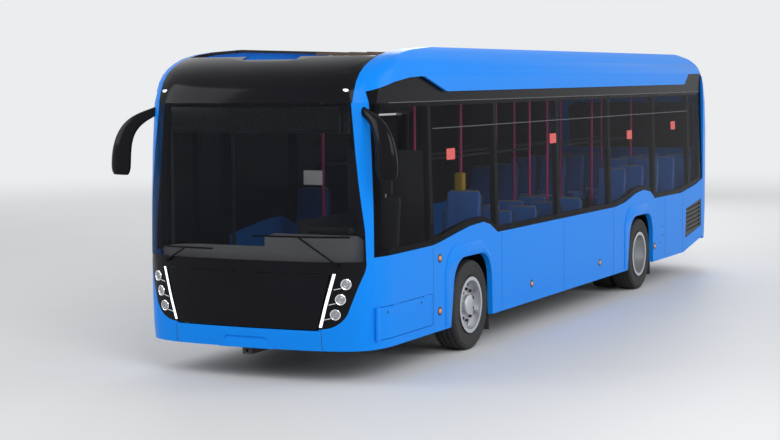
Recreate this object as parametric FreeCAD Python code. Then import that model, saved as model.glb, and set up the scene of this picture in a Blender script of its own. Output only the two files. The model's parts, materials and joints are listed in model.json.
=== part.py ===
"""A twelve metre low-floor city bus, built as separate panels, glass, running gear, doors and fittings.

Millimetres. +X is the bus's left, +Y runs from the front to the rear, +Z is up, and the ground is z = 0.
The origin is on the ground, midway along and across the bus. Places along the bus are measured back from the
nose, or forward from the tail where they belong to the rear end.
"""

import FreeCAD
import Part

import math
import os
from functools import lru_cache

V = FreeCAD.Vector

# Overall sizes
WIDTH = 2550.0
HEIGHT = 3190.0
WHEELBASE = 5840.0
FRONT_OVERHANG = 2650.0
REAR_OVERHANG = 3510.0
SKIRT_Z = 320.0
FLOOR_Z = 360.0
FLOOR_THICKNESS = 40.0

# Gaps: between bonded panels, between pieces that only rest on each other, and round pins
PANEL_SEAM = 0.5
SEAT_GAP = 0.3
RUNNING_CLEARANCE = 0.1
LID_GAP = 6.0

# The curved ends. A plan curve (half-width, depth) is drawn for this half-width, and carried up the levels
# (height, depth). The crown's heights are given as drops below the roof's top.
DRAWN_HALF_WIDTH = 1275.0
PLAN_FACET_SAG = 2.5
LEAST_FACET = 20.0
NOSE_PLAN = ((0, 0), (500, 18), (850, 62), (1050, 134), (1160, 218), (1225, 330), (1262, 500), (1295, 850),
             (1330, 1400))
NOSE_LEVELS = ((250, 45), (480, 14), (760, 0), (1190, 0), (1690, 11), (2180, 42), (2650, 90))
NOSE_CROWN = ((435, 127), (340, 175), (262, 250), (200, 345), (150, 460), (100, 620), (62, 830), (30, 1150),
              (0, 1700), (-50, 2600))
TAIL_PLAN = ((0, 0), (600, 10), (950, 42), (1120, 100), (1215, 200), (1260, 350), (1295, 700), (1330, 1200))
TAIL_LEVELS = ((250, 80), (500, 45), (900, 12), (1500, 0), (2100, 10), (2500, 60))
TAIL_CROWN = ((435, 150), (340, 215), (265, 310), (200, 420), (140, 580), (70, 850), (10, 1300), (-50, 2000))

# The body's cross-section
WALL = 60.0
SIDE_TOP_Z = 2800.0
ROOF_ROUND_DROP = 160.0
ROOF_ROUND_INWARD = 37.0
ROOF_FLAT_HALF_WIDTH = 1130.0

# Body side and window band
BELT_Z = 1195.0
FRONT_BELT_HUMP = ((-1050, 9), (-835, 33), (-504, 79), (-110, 130), (260, 146), (440, 106), (655, 4))
REAR_BELT_HUMP = ((-1110, 0), (-740, 33), (-270, 124), (60, 150), (360, 110), (570, 4))
BELT_TAIL_RISE = ((1650, 0), (920, 77), (400, 176))
SHORTEST_BAY = 150.0
GLASS_FOOT_Z = 1100.0
GLASS_TOP_Z = 2640.0
GLASS_THICKNESS = 6.0
GLASS_SETBACK_LOW = 6.0
GLASS_SETBACK_HIGH = 42.0
WINDOW_HEAD_Z = 2600.0
WINDOW_SILL_ABOVE_BELT = 60.0
PILLAR_WIDTH = 90.0
LEFT_BARS = (1600.0, 3330.0, 5270.0, 7180.0, 9100.0, 10800.0)
RIGHT_BARS = (3330.0, 7750.0, 9200.0, 10600.0)
WINDOW_FRONT = 470.0
PANE_GAP = 8.0
BAND_REACH = 190.0
DOOR_PILLAR = 60.0
REAR_PANEL_DEPTH = 520.0
WINDOW_TO_REAR_PANEL = 130.0
TAIL_RISE_LENGTH = 1530.0
TAIL_RISE = 240.0
FLAP = (360.0, 1560.0, 400.0, 720.0)
FLAP_THICKNESS = 32.0
FLAP_HINGE_YS = (700.0, 1400.0)
GRILLE = ((1440, 520), (600, 640), (600, 1050), (1400, 950))
GRILLE_THICKNESS = 34.0
GRILLE_SETBACK = 6.0
GRILLE_BLADES = 6
GRILLE_BLADE_PITCH = 62.0

# Roof, and the fairings along its edges
ROOF_EDGE_Z = 2940.0
ROOF_CROWN_Z = 2965.0
ROOF_THICKNESS = 60.0
FAIRING_THICKNESS = 30.0
FAIRING_INNER_X = 1050.0
FAIRING_LEDGE = 15.0
FAIRING_START = 900.0
FAIRING_EDGE_FRONT = ((340, 2755), (740, 2846), (1060, 2885), (1400, 2897), (1960, 2742))
FAIRING_EDGE_REAR = ((1520, 2760), (1320, 2909), (520, 2912))
PACK_COUNT = 4
PACK_FIRST_Y = 3300.0
PACK_LENGTH = 1380.0
PACK_PITCH = 1500.0
PACK_HALF_WIDTH = 820.0
PACK_HEIGHT = 200.0
ROOF_UNIT_LENGTH = 1650.0
ROOF_UNIT_TO_TAIL = 1000.0

# Front end, as half-widths by height
FRONT_CORNER_Y = 340.0
BUMPER_TOP_Z = 512.0
BUMPER_HALF_WIDTH = 800.0
BUMPER_STEP = ((300, 318), (215, 430))
HATCH_TOP_Z = 1058.0
HATCH_HALF_WIDTHS = (762.0, 905.0)
HATCH_HEAD_TRIM = 14.0
HATCH_FOOT_GAP = 11.0
HATCH_THICKNESS = 28.0
WINDSCREEN_FOOT_Z = 1165.0
WINDSCREEN_HEAD_Z = 2650.0
WINDSCREEN_THICKNESS = 8.0
WINDSCREEN_SETBACK = 4.0
COWL_THICKNESS = 36.0
COWL_SETBACK = 2.0
TOP_PANEL_THICKNESS = 40.0
TOP_PANEL_HEAD_Z = 3096.0
TOP_PANEL_NOTCH = (300.0, 520.0, 3066.0)
GLAZED_FRONT = ((700, 512, 500), (1010, 560, 260), (1190, 1100, 300), (1180, 1450, 1500), (1055, 2652))
TOP_FRONT = ((1055, 2652), (945, 2945, 30), (1060, 3110), (1060, 3300))
LIGHT_STRIP = (795.0, 934.0, 548.0, 1056.0, 28.0)
LAMP_PLACES = ((1036, 958), (988, 815), (940, 672))
LAMP_RADIUS = 48.0
LAMP_SIDES = 18

# Rear end
REAR_SHELL_THICKNESS = 40.0
REAR_SHELL_FOOT_Z = 440.0
LID = (900.0, 640.0, 1540.0, 60.0)
REAR_GLASS = (1000.0, 1780.0, 2480.0, 90.0)
TAIL_LAMP_ZS = (900.0, 1030.0, 1160.0)
TAIL_LAMP_X = 1105.0
TAIL_LAMP_RADIUS = 50.0

# Top hinges of the lids and the flap
HINGE_RADIUS = 8.0
HINGE_WIDTH = 60.0
HINGE_EAR = 24.0
HINGE_PIN_RADIUS = 4.0
HINGE_ROOM = 2.0
LID_HINGE_XS = (-160.0, 160.0)

# Wheels
TYRE_RADIUS = 478.0
TYRE_WIDTH = 275.0
TYRE_FACE_X = 1236.0
TYRE_SIDES = 32
RIM_FLANGE_RADIUS = 298.0
RIM_SEAT_RADIUS = 284.0
RIM_DEPTH = 30.0
RIM_FLANGE = 11.0
TWIN_SPACING = 318.0
FRONT_DISH = 55.0
DISC_THICKNESS = 12.0
DISC_FACE_RADIUS = 195.0
HUB_RADIUS = 110.0
HUB_END = 60.0
HUB_CAP = 18.0
HAND_HOLES = 8
HAND_HOLE_CIRCLE = 222.0
HAND_HOLE_SIZE = 42.0
HAND_HOLE_REACH = 80.0

# Axles and knuckles
KINGPIN_X = 985.0
KINGPIN_RADIUS = 26.0
STUB_RADIUS = 55.0
BEAM_LOW_Z = 210.0
BEAM_HIGH_Z = 290.0
BEAM_HALF_DEPTH = 42.0
EYE_RADIUS = 44.0
EYE_HALF_HEIGHT = 78.0
LUG_HEIGHT = 36.0
BRAKE_RADIUS = 205.0
BRAKE_TO_DISH = 52.0
WEB_OFFSET = 52.0
WEB_THICKNESS = 24.0
KNUCKLE_EDGE = 18.0
SPRING_PAD_X = 450.0
SPRING_PAD_TOP_Z = 306.0
REAR_TUBE_RADIUS = 75.0
REAR_HUB_INNER = -235.0
REAR_HUB_OUTER = -20.0
REAR_HUB_RADIUS = 140.0
DRUM_RADIUS = 200.0
DRUM_LENGTH = 60.0
DRUM_SIDES = 20
CASING_RADIUS = 175.0
CASING_HALF_LENGTH = 300.0
AIR_SPRING_X = 445.0
AIR_SPRING_RADIUS = 60.0
AIR_SPRING_TOP_Z = 640.0
DRUM_GAP = 10.0

# Wheel arches and the boxes over the wheels
ARCH_TOP_Z = 1014.0
ARCH_FRONT = 635.0
ARCH_REAR = 515.0
ARCH_ROUND = 300.0
WHEEL_BOX_WALL = 20.0
WHEEL_BOX_TOP_Z = 1040.0
WHEEL_BOX_HALF_LENGTH = 640.0
WHEEL_BOX_CHAMFER = 90.0
FRONT_BOX_INNER_X = 610.0
REAR_BOX_INNER_X = 560.0

# Frame under the floor
FRAME_RAIL_X = 520.0
REAR_RAIL_X = 480.0
RAIL_WIDTH = 70.0
FRAME_LOW_Z = 230.0
REAR_FRAME_LOW_Z = 560.0
CROSS_MEMBER = 60.0
CROSS_MEMBER_SETBACK = 10.0
TOWING_BAR_HALF_WIDTH = 50.0
TOWING_BAR_LOW_Z = 250.0
TOWING_BORE_RADIUS = 16.0
TOWING_BORE_DEPTH = 90.0
TOWING_BORE_Z = 284.0
TOWING_BAR_START = 60.0
FRAME_START = 900.0
FRAME_FIRST_CROSS = 200.0
FRAME_PITCH = 1120.0
FRAME_SPLIT = 50.0
REAR_FRAME_TO_TAIL = 400.0
AXLE_ROOM = 90.0
REAR_AXLE_ROOM = 180.0
POWER_UNIT = (860.0, 800.0, 300.0)
POWER_UNIT_BEHIND_AXLE = 960.0

# Doorways on the right side: each has two leaves that turn and glide inwards
DOOR_ARM = 300.0
DOORWAY_YS = (600.0, 5000.0)
DOORWAY_HEAD_Z = 2440.0
LEAF_THICKNESS = 40.0
LEAF_FACE_X = 1235.0
LEAF_RAIL = 62.0
LEAF_POST_INSET = 38.0
LEAF_JAMB_GAP = 16.0
LEAF_MEETING_GAP = 4.0
LEAF_TO_POST_LINE = 34.0
LEAF_PANE_THICKNESS = 8.0
LEAF_PANE_SETBACK = 4.0
LEAF_BRACKET_HEIGHT = 24.0
DOOR_CLEARANCE = 6.0
DOOR_POST_RADIUS = 18.0
ARM_THICKNESS = 18.0
ARM_HALF_WIDTH = 15.0
DOOR_PIN_RADIUS = 8.0
HEADER_HEIGHT = 110.0
HEADER_INNER_X = 1080.0

# Cab
CAB_FLOOR_Z = 620.0
CAB_INNER_X = 260.0
CAB_FRONT_Y = 480.0
CAB_REAR_Y = 1780.0
DASH_FRONT_Y = 110.0
DASH_FOOT_Z = 640.0
DASH_WALL_GAP = 84.0
DASH_LEG_GAP = 20.0
WHEEL_HUB = (720.0, 690.0, 1330.0)
WHEEL_TILT = math.radians(38)
WHEEL_RADIUS = 225.0
WHEEL_SIDES = 20
GRIP_RADIUS = 14.0
HUB_DEPTH = 20.0
COLUMN_RADIUS = 34.0
COLUMN_REACH = 260.0
SPOKE_ANGLES = (90, 210, 330)
PARTITION_Y = 1700.0
PARTITION_THICKNESS = 40.0
PARTITION_HEAD_Z = 2150.0
CAB_DOOR_HEAD_Z = 1500.0

# Saloon
REAR_FLOOR_Z = 700.0
STEP_AHEAD_OF_AXLE = 1140.0
STEP_DEPTH = 320.0
STEP_HEIGHT = 170.0
STEP_HALF_WIDTH = 520.0
SEAT_WIDTH = 430.0
SEAT_DEPTH = 440.0
SEAT_HEIGHT = 420.0
SEAT_BACK_HEIGHT = 600.0
SEAT_PITCH = 780.0
FIRST_ROW_BEHIND_AXLE = 1450.0
REAR_ROW_BEHIND_AXLE = 1240.0
LAST_ROW_TO_TAIL = 640.0
BOX_SEAT_BEHIND_AXLE = 530.0
BOX_SEAT_HEIGHT = 20.0
DRIVER_SEAT_Y = 990.0
DRIVER_CUSHION = 340.0
SEAT_XS = (470.0, 930.0)
RAIL_RADIUS = 17.0
RAIL_SIDES = 8
RAIL_X = 235.0
HAND_RAIL_Z = 1960.0
LOW_POLE_YS = (2100.0, 3400.0, 4700.0)
POLE_TO_STEP = 400.0
HIGH_POLE_YS = (-890.0, 910.0)
LAST_POLE_TO_TAIL = 800.0

# Fittings outside
MIRROR_OUTLINE = ((1372, 1935, 50), (1578, 1935, 60), (1578, 2240, 180), (1470, 2450, 60), (1330, 2420, 30),
                  (1352, 2200))
MIRROR_YS = (110.0, 205.0)
MIRROR_ARM = ((1120, 330, 2585), (1250, 240, 2590), (1350, 190, 2540), (1420, 165, 2430))
MIRROR_ARM_RADIUS = 22.0
WIPER_REACH_OUT = 34.0
WIPER_ROD = 9.0
WIPER_SPINDLE_RADIUS = 14.0
WIPER_BLADE_RUNS = 4
LEFT_WIPER = (980.0, 1135.0, 600.0, 1400.0, 120.0)
RIGHT_WIPER = (-880.0, 1130.0, -640.0, 1262.0, -950.0)

# Charging arm on the roof, folded: (distance back, height) of its pivots
PAN_PIVOT = (2650.0, 3022.0)
PAN_ELBOW = (1250.0, 3044.0)
PAN_TOP = (2550.0, 3066.0)
PAN_SHAFT = 12.0
PAN_TIE = 10.0
PAN_TUBE = 16.0
PAN_BASE_HALF_WIDTH = 420.0
PAN_BASE_YS = (1150.0, 2680.0)
PAN_RAIL_HEIGHT = 26.0
PAN_BASE_RAIL = 60.0
PAN_EAR_X = 236.0
PAN_EAR_WIDTH = 24.0
PAN_SIDE_X = 175.0
PAN_SIDE_WIDTH = 30.0
PAN_SLEEVE = (110.0, 40.0, 24.0)
PAN_UPPER_X = 130.0
PAN_HEAD_HALF_WIDTH = 320.0
PAN_HEAD_SLEEVE = (100.0, 22.0)
CONTACT_BAR_XS = (-320.0, -110.0, 70.0, 280.0)
CONTACT_BAR_WIDTH = 40.0
CONTACT_BAR_REACH = (420.0, 180.0)

HALF = WIDTH / 2
LENGTH = FRONT_OVERHANG + WHEELBASE + REAR_OVERHANG
FRONT_Y = -LENGTH / 2
REAR_Y = LENGTH / 2
FRONT_AXLE_Y = FRONT_Y + FRONT_OVERHANG
REAR_AXLE_Y = FRONT_AXLE_Y + WHEELBASE
TYRE_X = TYRE_FACE_X - TYRE_WIDTH / 2
TWIN_DISH = -TWIN_SPACING / 2
FLOOR_INSET = WALL + LID_GAP
STEP_Y = REAR_AXLE_Y - STEP_AHEAD_OF_AXLE
STEERING_HUB = (WHEEL_HUB[0], FRONT_Y + WHEEL_HUB[1], WHEEL_HUB[2])
ARM_LOW_Z = FLOOR_Z + DOOR_CLEARANCE
ARM_HIGH_Z = DOORWAY_HEAD_Z - DOOR_CLEARANCE - ARM_THICKNESS
LEAF_FOOT_Z = ARM_LOW_Z + ARM_THICKNESS + DOOR_CLEARANCE
LEAF_HEAD_Z = ARM_HIGH_Z - DOOR_CLEARANCE
INNER_WALL_X = HALF - WALL
POST_LINE_X = LEAF_FACE_X - LEAF_THICKNESS - LEAF_TO_POST_LINE
DOORWAY_SPAN = 4 * DOOR_ARM
REAR_PANEL_Y = LENGTH - REAR_PANEL_DEPTH
CEILING_Z = ROOF_EDGE_Z - ROOF_THICKNESS
BEYOND = 60.0


def back(distance):
    """The y of a place this far behind the nose."""
    return FRONT_Y + distance


def ahead(distance):
    """The y of a place this far ahead of the tail."""
    return REAR_Y - distance


# Shapes


def box(x0, x1, y0, y1, z0, z1):
    return Part.makeBox(x1 - x0, y1 - y0, z1 - z0, V(x0, y0, z0))


def cylinder(radius, start, end):
    start, end = V(*start), V(*end)
    return Part.makeCylinder(radius, (end - start).Length, start, end - start)


def line(start, end):
    return Part.LineSegment(start, end).toShape()


def mirrored(shape):
    """The shape's mirror image on the other side of the bus."""
    return shape.mirror(V(0, 0, 0), V(1, 0, 0))


def both_sides(shape):
    return [shape, mirrored(shape)]


def rounded_outline(corners, place):
    """A closed wire through 2-D corners (u, v) or (u, v, radius), each radius rounding its corner."""
    count = len(corners)
    points = [V(c[0], c[1], 0) for c in corners]
    edges = []
    previous_end = None
    first_start = None
    for i, corner in enumerate(corners):
        here, before, after = points[i], points[i - 1], points[(i + 1) % count]
        radius = corner[2] if len(corner) > 2 else 0
        to_before = (before - here).normalize()
        to_after = (after - here).normalize()
        start = end = here
        if radius:
            half_angle = to_before.getAngle(to_after) / 2
            reach = radius / math.tan(half_angle)
            start, end = here + to_before * reach, here + to_after * reach
            centre = here + (to_before + to_after).normalize() * (radius / math.sin(half_angle))
            middle = centre + (here - centre).normalize() * radius
        if previous_end is not None and (start - previous_end).Length > 1e-6:
            edges.append(line(place(previous_end), place(start)))
        if radius:
            edges.append(Part.Arc(place(start), place(middle), place(end)).toShape())
        if first_start is None:
            first_start = start
        previous_end = end
    if (first_start - previous_end).Length > 1e-6:
        edges.append(line(place(previous_end), place(first_start)))
    return Part.Wire(Part.__sortEdges__(edges))


def plate_x(corners, x0, x1):
    """A plate whose outline is seen from the side: corners are (y, z) or (y, z, radius)."""
    wire = rounded_outline(corners, lambda p: V(x0, p.x, p.y))
    return Part.Face(wire).extrude(V(x1 - x0, 0, 0))


def plate_y(corners, y0, y1):
    """A plate whose outline is seen from the front: corners are (x, z) or (x, z, radius)."""
    wire = rounded_outline(corners, lambda p: V(p.x, y0, p.y))
    return Part.Face(wire).extrude(V(0, y1 - y0, 0))


def rectangle(half, low, high, radius=0.0):
    return [(half, low, radius), (half, high, radius), (-half, high, radius), (-half, low, radius)]


def turned(profile, centre):
    """A ring turned about a line along x: profile corners are (x offset, radius)."""
    x, y, z = centre
    wire = rounded_outline(profile, lambda p: V(x + p.x, y, z + p.y))
    return Part.Face(wire).revolve(V(x, y, z), V(1, 0, 0), 360)


def faceted_ring(profile, centre, sides):
    """A ring of flat facets about a line along x, one of them facing down.

    Profile corners are (x offset, radius to the middle of a facet).
    """
    x, y, z = centre
    widen = 1 / math.cos(math.pi / sides)
    turns = [2 * math.pi * (i + 0.5) / sides for i in range(sides)]
    rings = [[V(x + a, y + r * widen * math.cos(t), z + r * widen * math.sin(t)) for t in turns]
             for a, r in profile]
    faces = []
    for k in range(len(rings)):
        near, far = rings[k - 1], rings[k]
        for i in range(sides):
            j = (i + 1) % sides
            faces.append(Part.Face(Part.makePolygon([near[i], near[j], far[j], far[i], near[i]])))
    shell = Part.makeShell(faces)
    shell.sewShape()
    solid = Part.makeSolid(shell)
    return solid if solid.Volume > 0 else solid.reversed()


def rod(radius, start, end, sides):
    """A straight bar of flat facets, for what nothing turns on."""
    start, end = V(*start), V(*end)
    along = end - start
    turn = FreeCAD.Rotation(V(0, 0, 1), along)
    points = [start + turn.multVec(V(radius * math.cos(t), radius * math.sin(t), 0))
              for t in (2 * math.pi * (i + 0.5) / sides for i in range(sides))]
    return Part.Face(Part.makePolygon(points + points[:1])).extrude(along)


def fuse(shapes):
    shapes = list(shapes)
    return shapes[0].multiFuse(shapes[1:]).removeSplitter() if len(shapes) > 1 else shapes[0]


def write(name, shapes):
    """Writes the solids of one sub-part."""
    shapes = shapes if isinstance(shapes, list) else [shapes]
    solids = [solid for shape in shapes for solid in shape.Solids]
    Part.makeCompound(solids).exportStep(os.path.join("parts", name + ".step"))


# The body's outer form: a cross-section run along the bus, closed by a curved nose and a curved tail


@lru_cache(maxsize=None)
def end_block(end, inset):
    """All of the bus behind one end's skin, the inset below it: a slanted prism from each level to the next. Its
    plan curve is run as short straight facets, so that each prism has flat sides."""
    if end == "nose":
        plan, foot, crown, end_y, inward = NOSE_PLAN, NOSE_LEVELS, NOSE_CROWN, FRONT_Y, 1
    else:
        plan, foot, crown, end_y, inward = TAIL_PLAN, TAIL_LEVELS, TAIL_CROWN, REAR_Y, -1
    levels = list(foot) + [(HEIGHT - drop, depth) for drop, depth in crown]
    scale = (HALF - inset) / DRAWN_HALF_WIDTH
    curve = Part.BSplineCurve()
    curve.interpolate([V(-x, depth, 0) for x, depth in reversed(plan[1:])] + [V(x, depth, 0) for x, depth in plan])
    half = [p for p in curve.toShape().discretize(Deflection=PLAN_FACET_SAG) if p.x > LEAST_FACET]
    across = [V(-p.x, p.y, 0) for p in reversed(half)] + [V(0, 0, 0)] + half
    far = end_y + inward * 2 * LENGTH
    prisms = []
    for (low, low_depth), (high, high_depth) in zip(levels, levels[1:]):
        z0, z1 = low * (1 - inset / HEIGHT), high * (1 - inset / HEIGHT)
        skin = [V(p.x * scale, end_y + inward * (p.y + low_depth + inset), z0) for p in across]
        outline = skin + [V(skin[-1].x, far, z0), V(skin[0].x, far, z0), skin[0]]
        prisms.append(Part.Face(Part.makePolygon(outline)).extrude(V(0, inward * (high_depth - low_depth), z1 - z0)))
    return prisms[0].multiFuse(prisms[1:])


@lru_cache(maxsize=None)
def body_block(inset):
    """The whole bus as one block, the inset below its skin."""
    side_x = HALF - inset
    top_z = HEIGHT - inset
    arc_mid = (HALF - ROOF_ROUND_INWARD - 0.9 * inset, HEIGHT - ROOF_ROUND_DROP - 0.4 * inset)
    arc_top_x = ROOF_FLAT_HALF_WIDTH - 0.3 * inset
    y0 = FRONT_Y - BEYOND
    low, left, right = SKIRT_Z - BEYOND, {}, {}
    for side, points in ((1, left), (-1, right)):
        for name, x, z in (("foot", side_x, low), ("shoulder", side_x, SIDE_TOP_Z), ("round", *arc_mid),
                           ("top", arc_top_x, top_z)):
            points[name] = V(side * x, y0, z)
    edges = [line(right["foot"], left["foot"]), line(left["foot"], left["shoulder"]),
             Part.Arc(left["shoulder"], left["round"], left["top"]).toShape(), line(left["top"], right["top"]),
             Part.Arc(right["top"], right["round"], right["shoulder"]).toShape(),
             line(right["shoulder"], right["foot"])]
    block = Part.Face(Part.Wire(edges)).extrude(V(0, LENGTH + 2 * BEYOND, 0))
    return block.common(end_block("nose", inset)).common(end_block("tail", inset))


@lru_cache(maxsize=None)
def body_shell(thickness):
    return body_block(0).cut(body_block(thickness))


def end_panel(end, thickness, zone, setback=0.0):
    """The skin of one end, of that thickness and set back by so much, within a zone."""
    inward = 1 if end == "nose" else -1
    outer, inner = (end_block(end, 0).translated(V(0, inward * d, 0)) for d in (setback, setback + thickness))
    return zone.common(outer).cut(inner)


def nose_y(x, z):
    """The y of the nose's skin at this place, found by walking in from the front."""
    return line(V(x, FRONT_Y - BEYOND, z), V(x, 0, z)).common(end_block("nose", 0)).BoundBox.YMin


def tail_y(x, z):
    return line(V(x, REAR_Y + BEYOND, z), V(x, 0, z)).common(end_block("tail", 0)).BoundBox.YMax


def mirrored_outline(half, grow=0.0):
    """A closed outline, as wide as half says at each height, made wider by the given amount."""
    left = [(c[0] + grow,) + tuple(c[1:]) for c in half]
    right = [(-c[0],) + tuple(c[1:]) for c in reversed(left)]
    return left + right


def front_zone(half, grow=0.0, z0=SKIRT_Z, z1=HEIGHT + BEYOND):
    depth = FRONT_OVERHANG - FAIRING_START
    zone = plate_y(mirrored_outline(half, grow), FRONT_Y - BEYOND, back(depth))
    return zone.common(box(-HALF, HALF, FRONT_Y - BEYOND, back(depth), z0, z1))


# Top hinges: a knuckle with its pin on the lid, between two ears on the fixed panel. The pin's line lies on the
# outermost face, over the middle of the seam, so that the lid's edge swings clear of the panel.


def hinge_rod(centre, direction, start, end, radius):
    x, y, z = centre
    if direction == "x":
        return cylinder(radius, (x + start, y, z), (x + end, y, z))
    return cylinder(radius, (x, y + start, z), (x, y + end, z))


def hinge_spans():
    """Where the knuckle and the two ears begin and end along the pin."""
    knuckle = HINGE_WIDTH / 2
    inner = knuckle + HINGE_ROOM
    outer = inner + HINGE_EAR
    return (-knuckle, knuckle), ((inner, outer), (-outer, -inner))


def with_knuckles(lid, centres, direction):
    """The lid cleared for the ears, with a knuckle and a pin at each hinge."""
    knuckle, ears = hinge_spans()
    room = HINGE_ROOM
    rooms = [hinge_rod(c, direction, a - room, b + room, HINGE_RADIUS + room) for c in centres for a, b in ears]
    pins = [hinge_rod(c, direction, ears[1][0], ears[0][1], HINGE_PIN_RADIUS) for c in centres]
    return fuse([lid.cut(rooms)] + [hinge_rod(c, direction, *knuckle, HINGE_RADIUS) for c in centres] + pins)


def with_ears(panel, centres, direction):
    """The fixed panel cleared for the knuckles, with two bored ears at each hinge."""
    knuckle, ears = hinge_spans()
    room = HINGE_ROOM
    rooms = [hinge_rod(c, direction, knuckle[0] - room, knuckle[1] + room, HINGE_RADIUS + room) for c in centres]
    lugs = [hinge_rod(c, direction, a, b, HINGE_RADIUS) for c in centres for a, b in ears]
    bores = [hinge_rod(c, direction, a - 1, b + 1, HINGE_PIN_RADIUS + RUNNING_CLEARANCE) for c in centres
             for a, b in ears]
    return fuse([panel.cut(rooms)] + lugs).cut(bores)


def end_hinges(end_y, top_z):
    """The hinge middles of a lid on one of the ends, over the seam above it."""
    z = top_z - LID_GAP / 2
    return [(x, end_y(0, z), z) for x in LID_HINGE_XS]


# Front end


def strip_corners(side, grow=0.0):
    """The slanting light strip beside the front hatch, from its foot to its head."""
    foot_x, head_x, foot_z, head_z, width = LIGHT_STRIP
    reach = width / 2 + grow
    return [(side * (foot_x - reach), foot_z - grow), (side * (foot_x + reach), foot_z - grow),
            (side * (head_x + reach), head_z + grow), (side * (head_x - reach), head_z + grow)]


def hatch_opening():
    foot_half, head_half = HATCH_HALF_WIDTHS
    return mirrored_outline(((foot_half, BUMPER_TOP_Z), (head_half, HATCH_TOP_Z, 12)), LID_GAP)


def hatch_outline():
    """The hatch is trimmed at its head and foot, so that it swings out without touching its opening."""
    foot_half, head_half = HATCH_HALF_WIDTHS
    foot, head = BUMPER_TOP_Z + HATCH_FOOT_GAP, HATCH_TOP_Z - LID_GAP
    return mirrored_outline(((foot_half, foot, 40), (head_half - HATCH_HEAD_TRIM, head, 12)))


def nose_zone(outline):
    """A block behind an outline on the nose, deep enough for any panel there."""
    return plate_y(outline, FRONT_Y - BEYOND, back(2 * FRONT_CORNER_Y))


def front_end():
    shell = body_shell(WALL)
    corners = shell.common(box(-HALF, HALF, FRONT_Y - BEYOND, back(FRONT_CORNER_Y), SKIRT_Z, WINDSCREEN_HEAD_Z))
    corners = corners.cut([front_zone(GLAZED_FRONT, PANEL_SEAM), nose_zone(hatch_opening())])
    bumper_half = BUMPER_HALF_WIDTH + PANEL_SEAM
    corners = corners.cut(box(-bumper_half, bumper_half, FRONT_Y - BEYOND, back(FRONT_CORNER_Y), 0,
                              BUMPER_TOP_Z + LID_GAP))
    write("front_corners", corners)
    half = BUMPER_HALF_WIDTH
    bumper = box(-half, half, FRONT_Y - BEYOND, back(FRONT_CORNER_Y), SKIRT_Z, BUMPER_TOP_Z)
    step = plate_y(mirrored_outline(BUMPER_STEP), FRONT_Y - BEYOND, back(FRONT_CORNER_Y))
    write("front_bumper", end_panel("nose", WALL, bumper.cut(step)))

    hinges = end_hinges(nose_y, HATCH_TOP_Z)
    holes = [nose_zone(hatch_opening())]
    lamps = []
    for side in (1, -1):
        holes.append(nose_zone(strip_corners(side, SEAT_GAP)))
        lamps.append(end_panel("nose", COWL_THICKNESS - 10, nose_zone(strip_corners(side)), 1))
        for x, z in LAMP_PLACES:
            ends = (side * x, FRONT_Y - BEYOND, z), (side * x, back(2 * FRONT_CORNER_Y), z)
            holes.append(rod(LAMP_RADIUS + SEAT_GAP, *ends, LAMP_SIDES))
            lamps.append(end_panel("nose", WALL, rod(LAMP_RADIUS, *ends, LAMP_SIDES), 1))
    write("headlamps", lamps)
    zone = front_zone(GLAZED_FRONT, 0, BUMPER_TOP_Z + PANEL_SEAM, WINDSCREEN_FOOT_Z - PANEL_SEAM)
    cowl = end_panel("nose", COWL_THICKNESS, zone.cut(holes), COWL_SETBACK)
    write("front_cowl", with_ears(cowl, hinges, "x"))
    hatch = end_panel("nose", HATCH_THICKNESS, nose_zone(hatch_outline()), COWL_SETBACK)
    write("front_hatch", with_knuckles(hatch, hinges, "x"))

    half, start, foot_z = TOP_PANEL_NOTCH
    notch = box(-half, half, back(start), back(FRONT_OVERHANG), foot_z, HEIGHT + BEYOND)
    zone = front_zone(TOP_FRONT, -PANEL_SEAM, WINDSCREEN_HEAD_Z + PANEL_SEAM, TOP_PANEL_HEAD_Z).cut(notch)
    write("front_top_panel", end_panel("nose", TOP_PANEL_THICKNESS, zone))

    zone = front_zone(GLAZED_FRONT, 0, WINDSCREEN_FOOT_Z, WINDSCREEN_HEAD_Z - PANEL_SEAM)
    write("windscreen", end_panel("nose", WINDSCREEN_THICKNESS, zone, WINDSCREEN_SETBACK))


# Body sides


def belt_line():
    """The belt's points from nose to tail: a hump over each axle and a rise to the tail."""
    front, rear = FRONT_OVERHANG, FRONT_OVERHANG + WHEELBASE
    points = [(FRONT_CORNER_Y - WALL, 0)]
    points += [(front + y, rise) for y, rise in FRONT_BELT_HUMP]
    points += [(rear + y, rise) for y, rise in REAR_BELT_HUMP]
    points += [(LENGTH - y, rise) for y, rise in BELT_TAIL_RISE]
    return points


def belt_block(offset):
    """All that lies above the belt line, raised by the offset, on the left."""
    points = [V(0, back(y), BELT_Z + rise + offset) for y, rise in belt_line()]
    top = HEIGHT + BEYOND
    corners = points + [V(0, points[-1].y, top), V(0, points[0].y, top), points[0]]
    return Part.Face(Part.makePolygon(corners)).extrude(V(HALF + BEYOND, 0, 0))


def arch_block(axle_y):
    """The wheel opening: steep in front, a flat crown, and a tighter curve behind."""
    corners = [(axle_y - ARCH_FRONT - 40, 0), (axle_y - ARCH_FRONT + 130, ARCH_TOP_Z, ARCH_ROUND),
               (axle_y + ARCH_REAR - 40, ARCH_TOP_Z, ARCH_ROUND), (axle_y + ARCH_REAR, 0)]
    return plate_x(corners, INNER_WALL_X - BEYOND, HALF + BEYOND)


def doorway_block(start):
    """A doorway on the right, from its first to its last jamb."""
    first = back(start) + LEAF_POST_INSET - LEAF_JAMB_GAP
    last = back(start) + DOORWAY_SPAN - LEAF_POST_INSET + LEAF_JAMB_GAP
    return box(-HALF - BEYOND, -HEADER_INNER_X + BEYOND, first, last, FLOOR_Z, DOORWAY_HEAD_Z)


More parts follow.
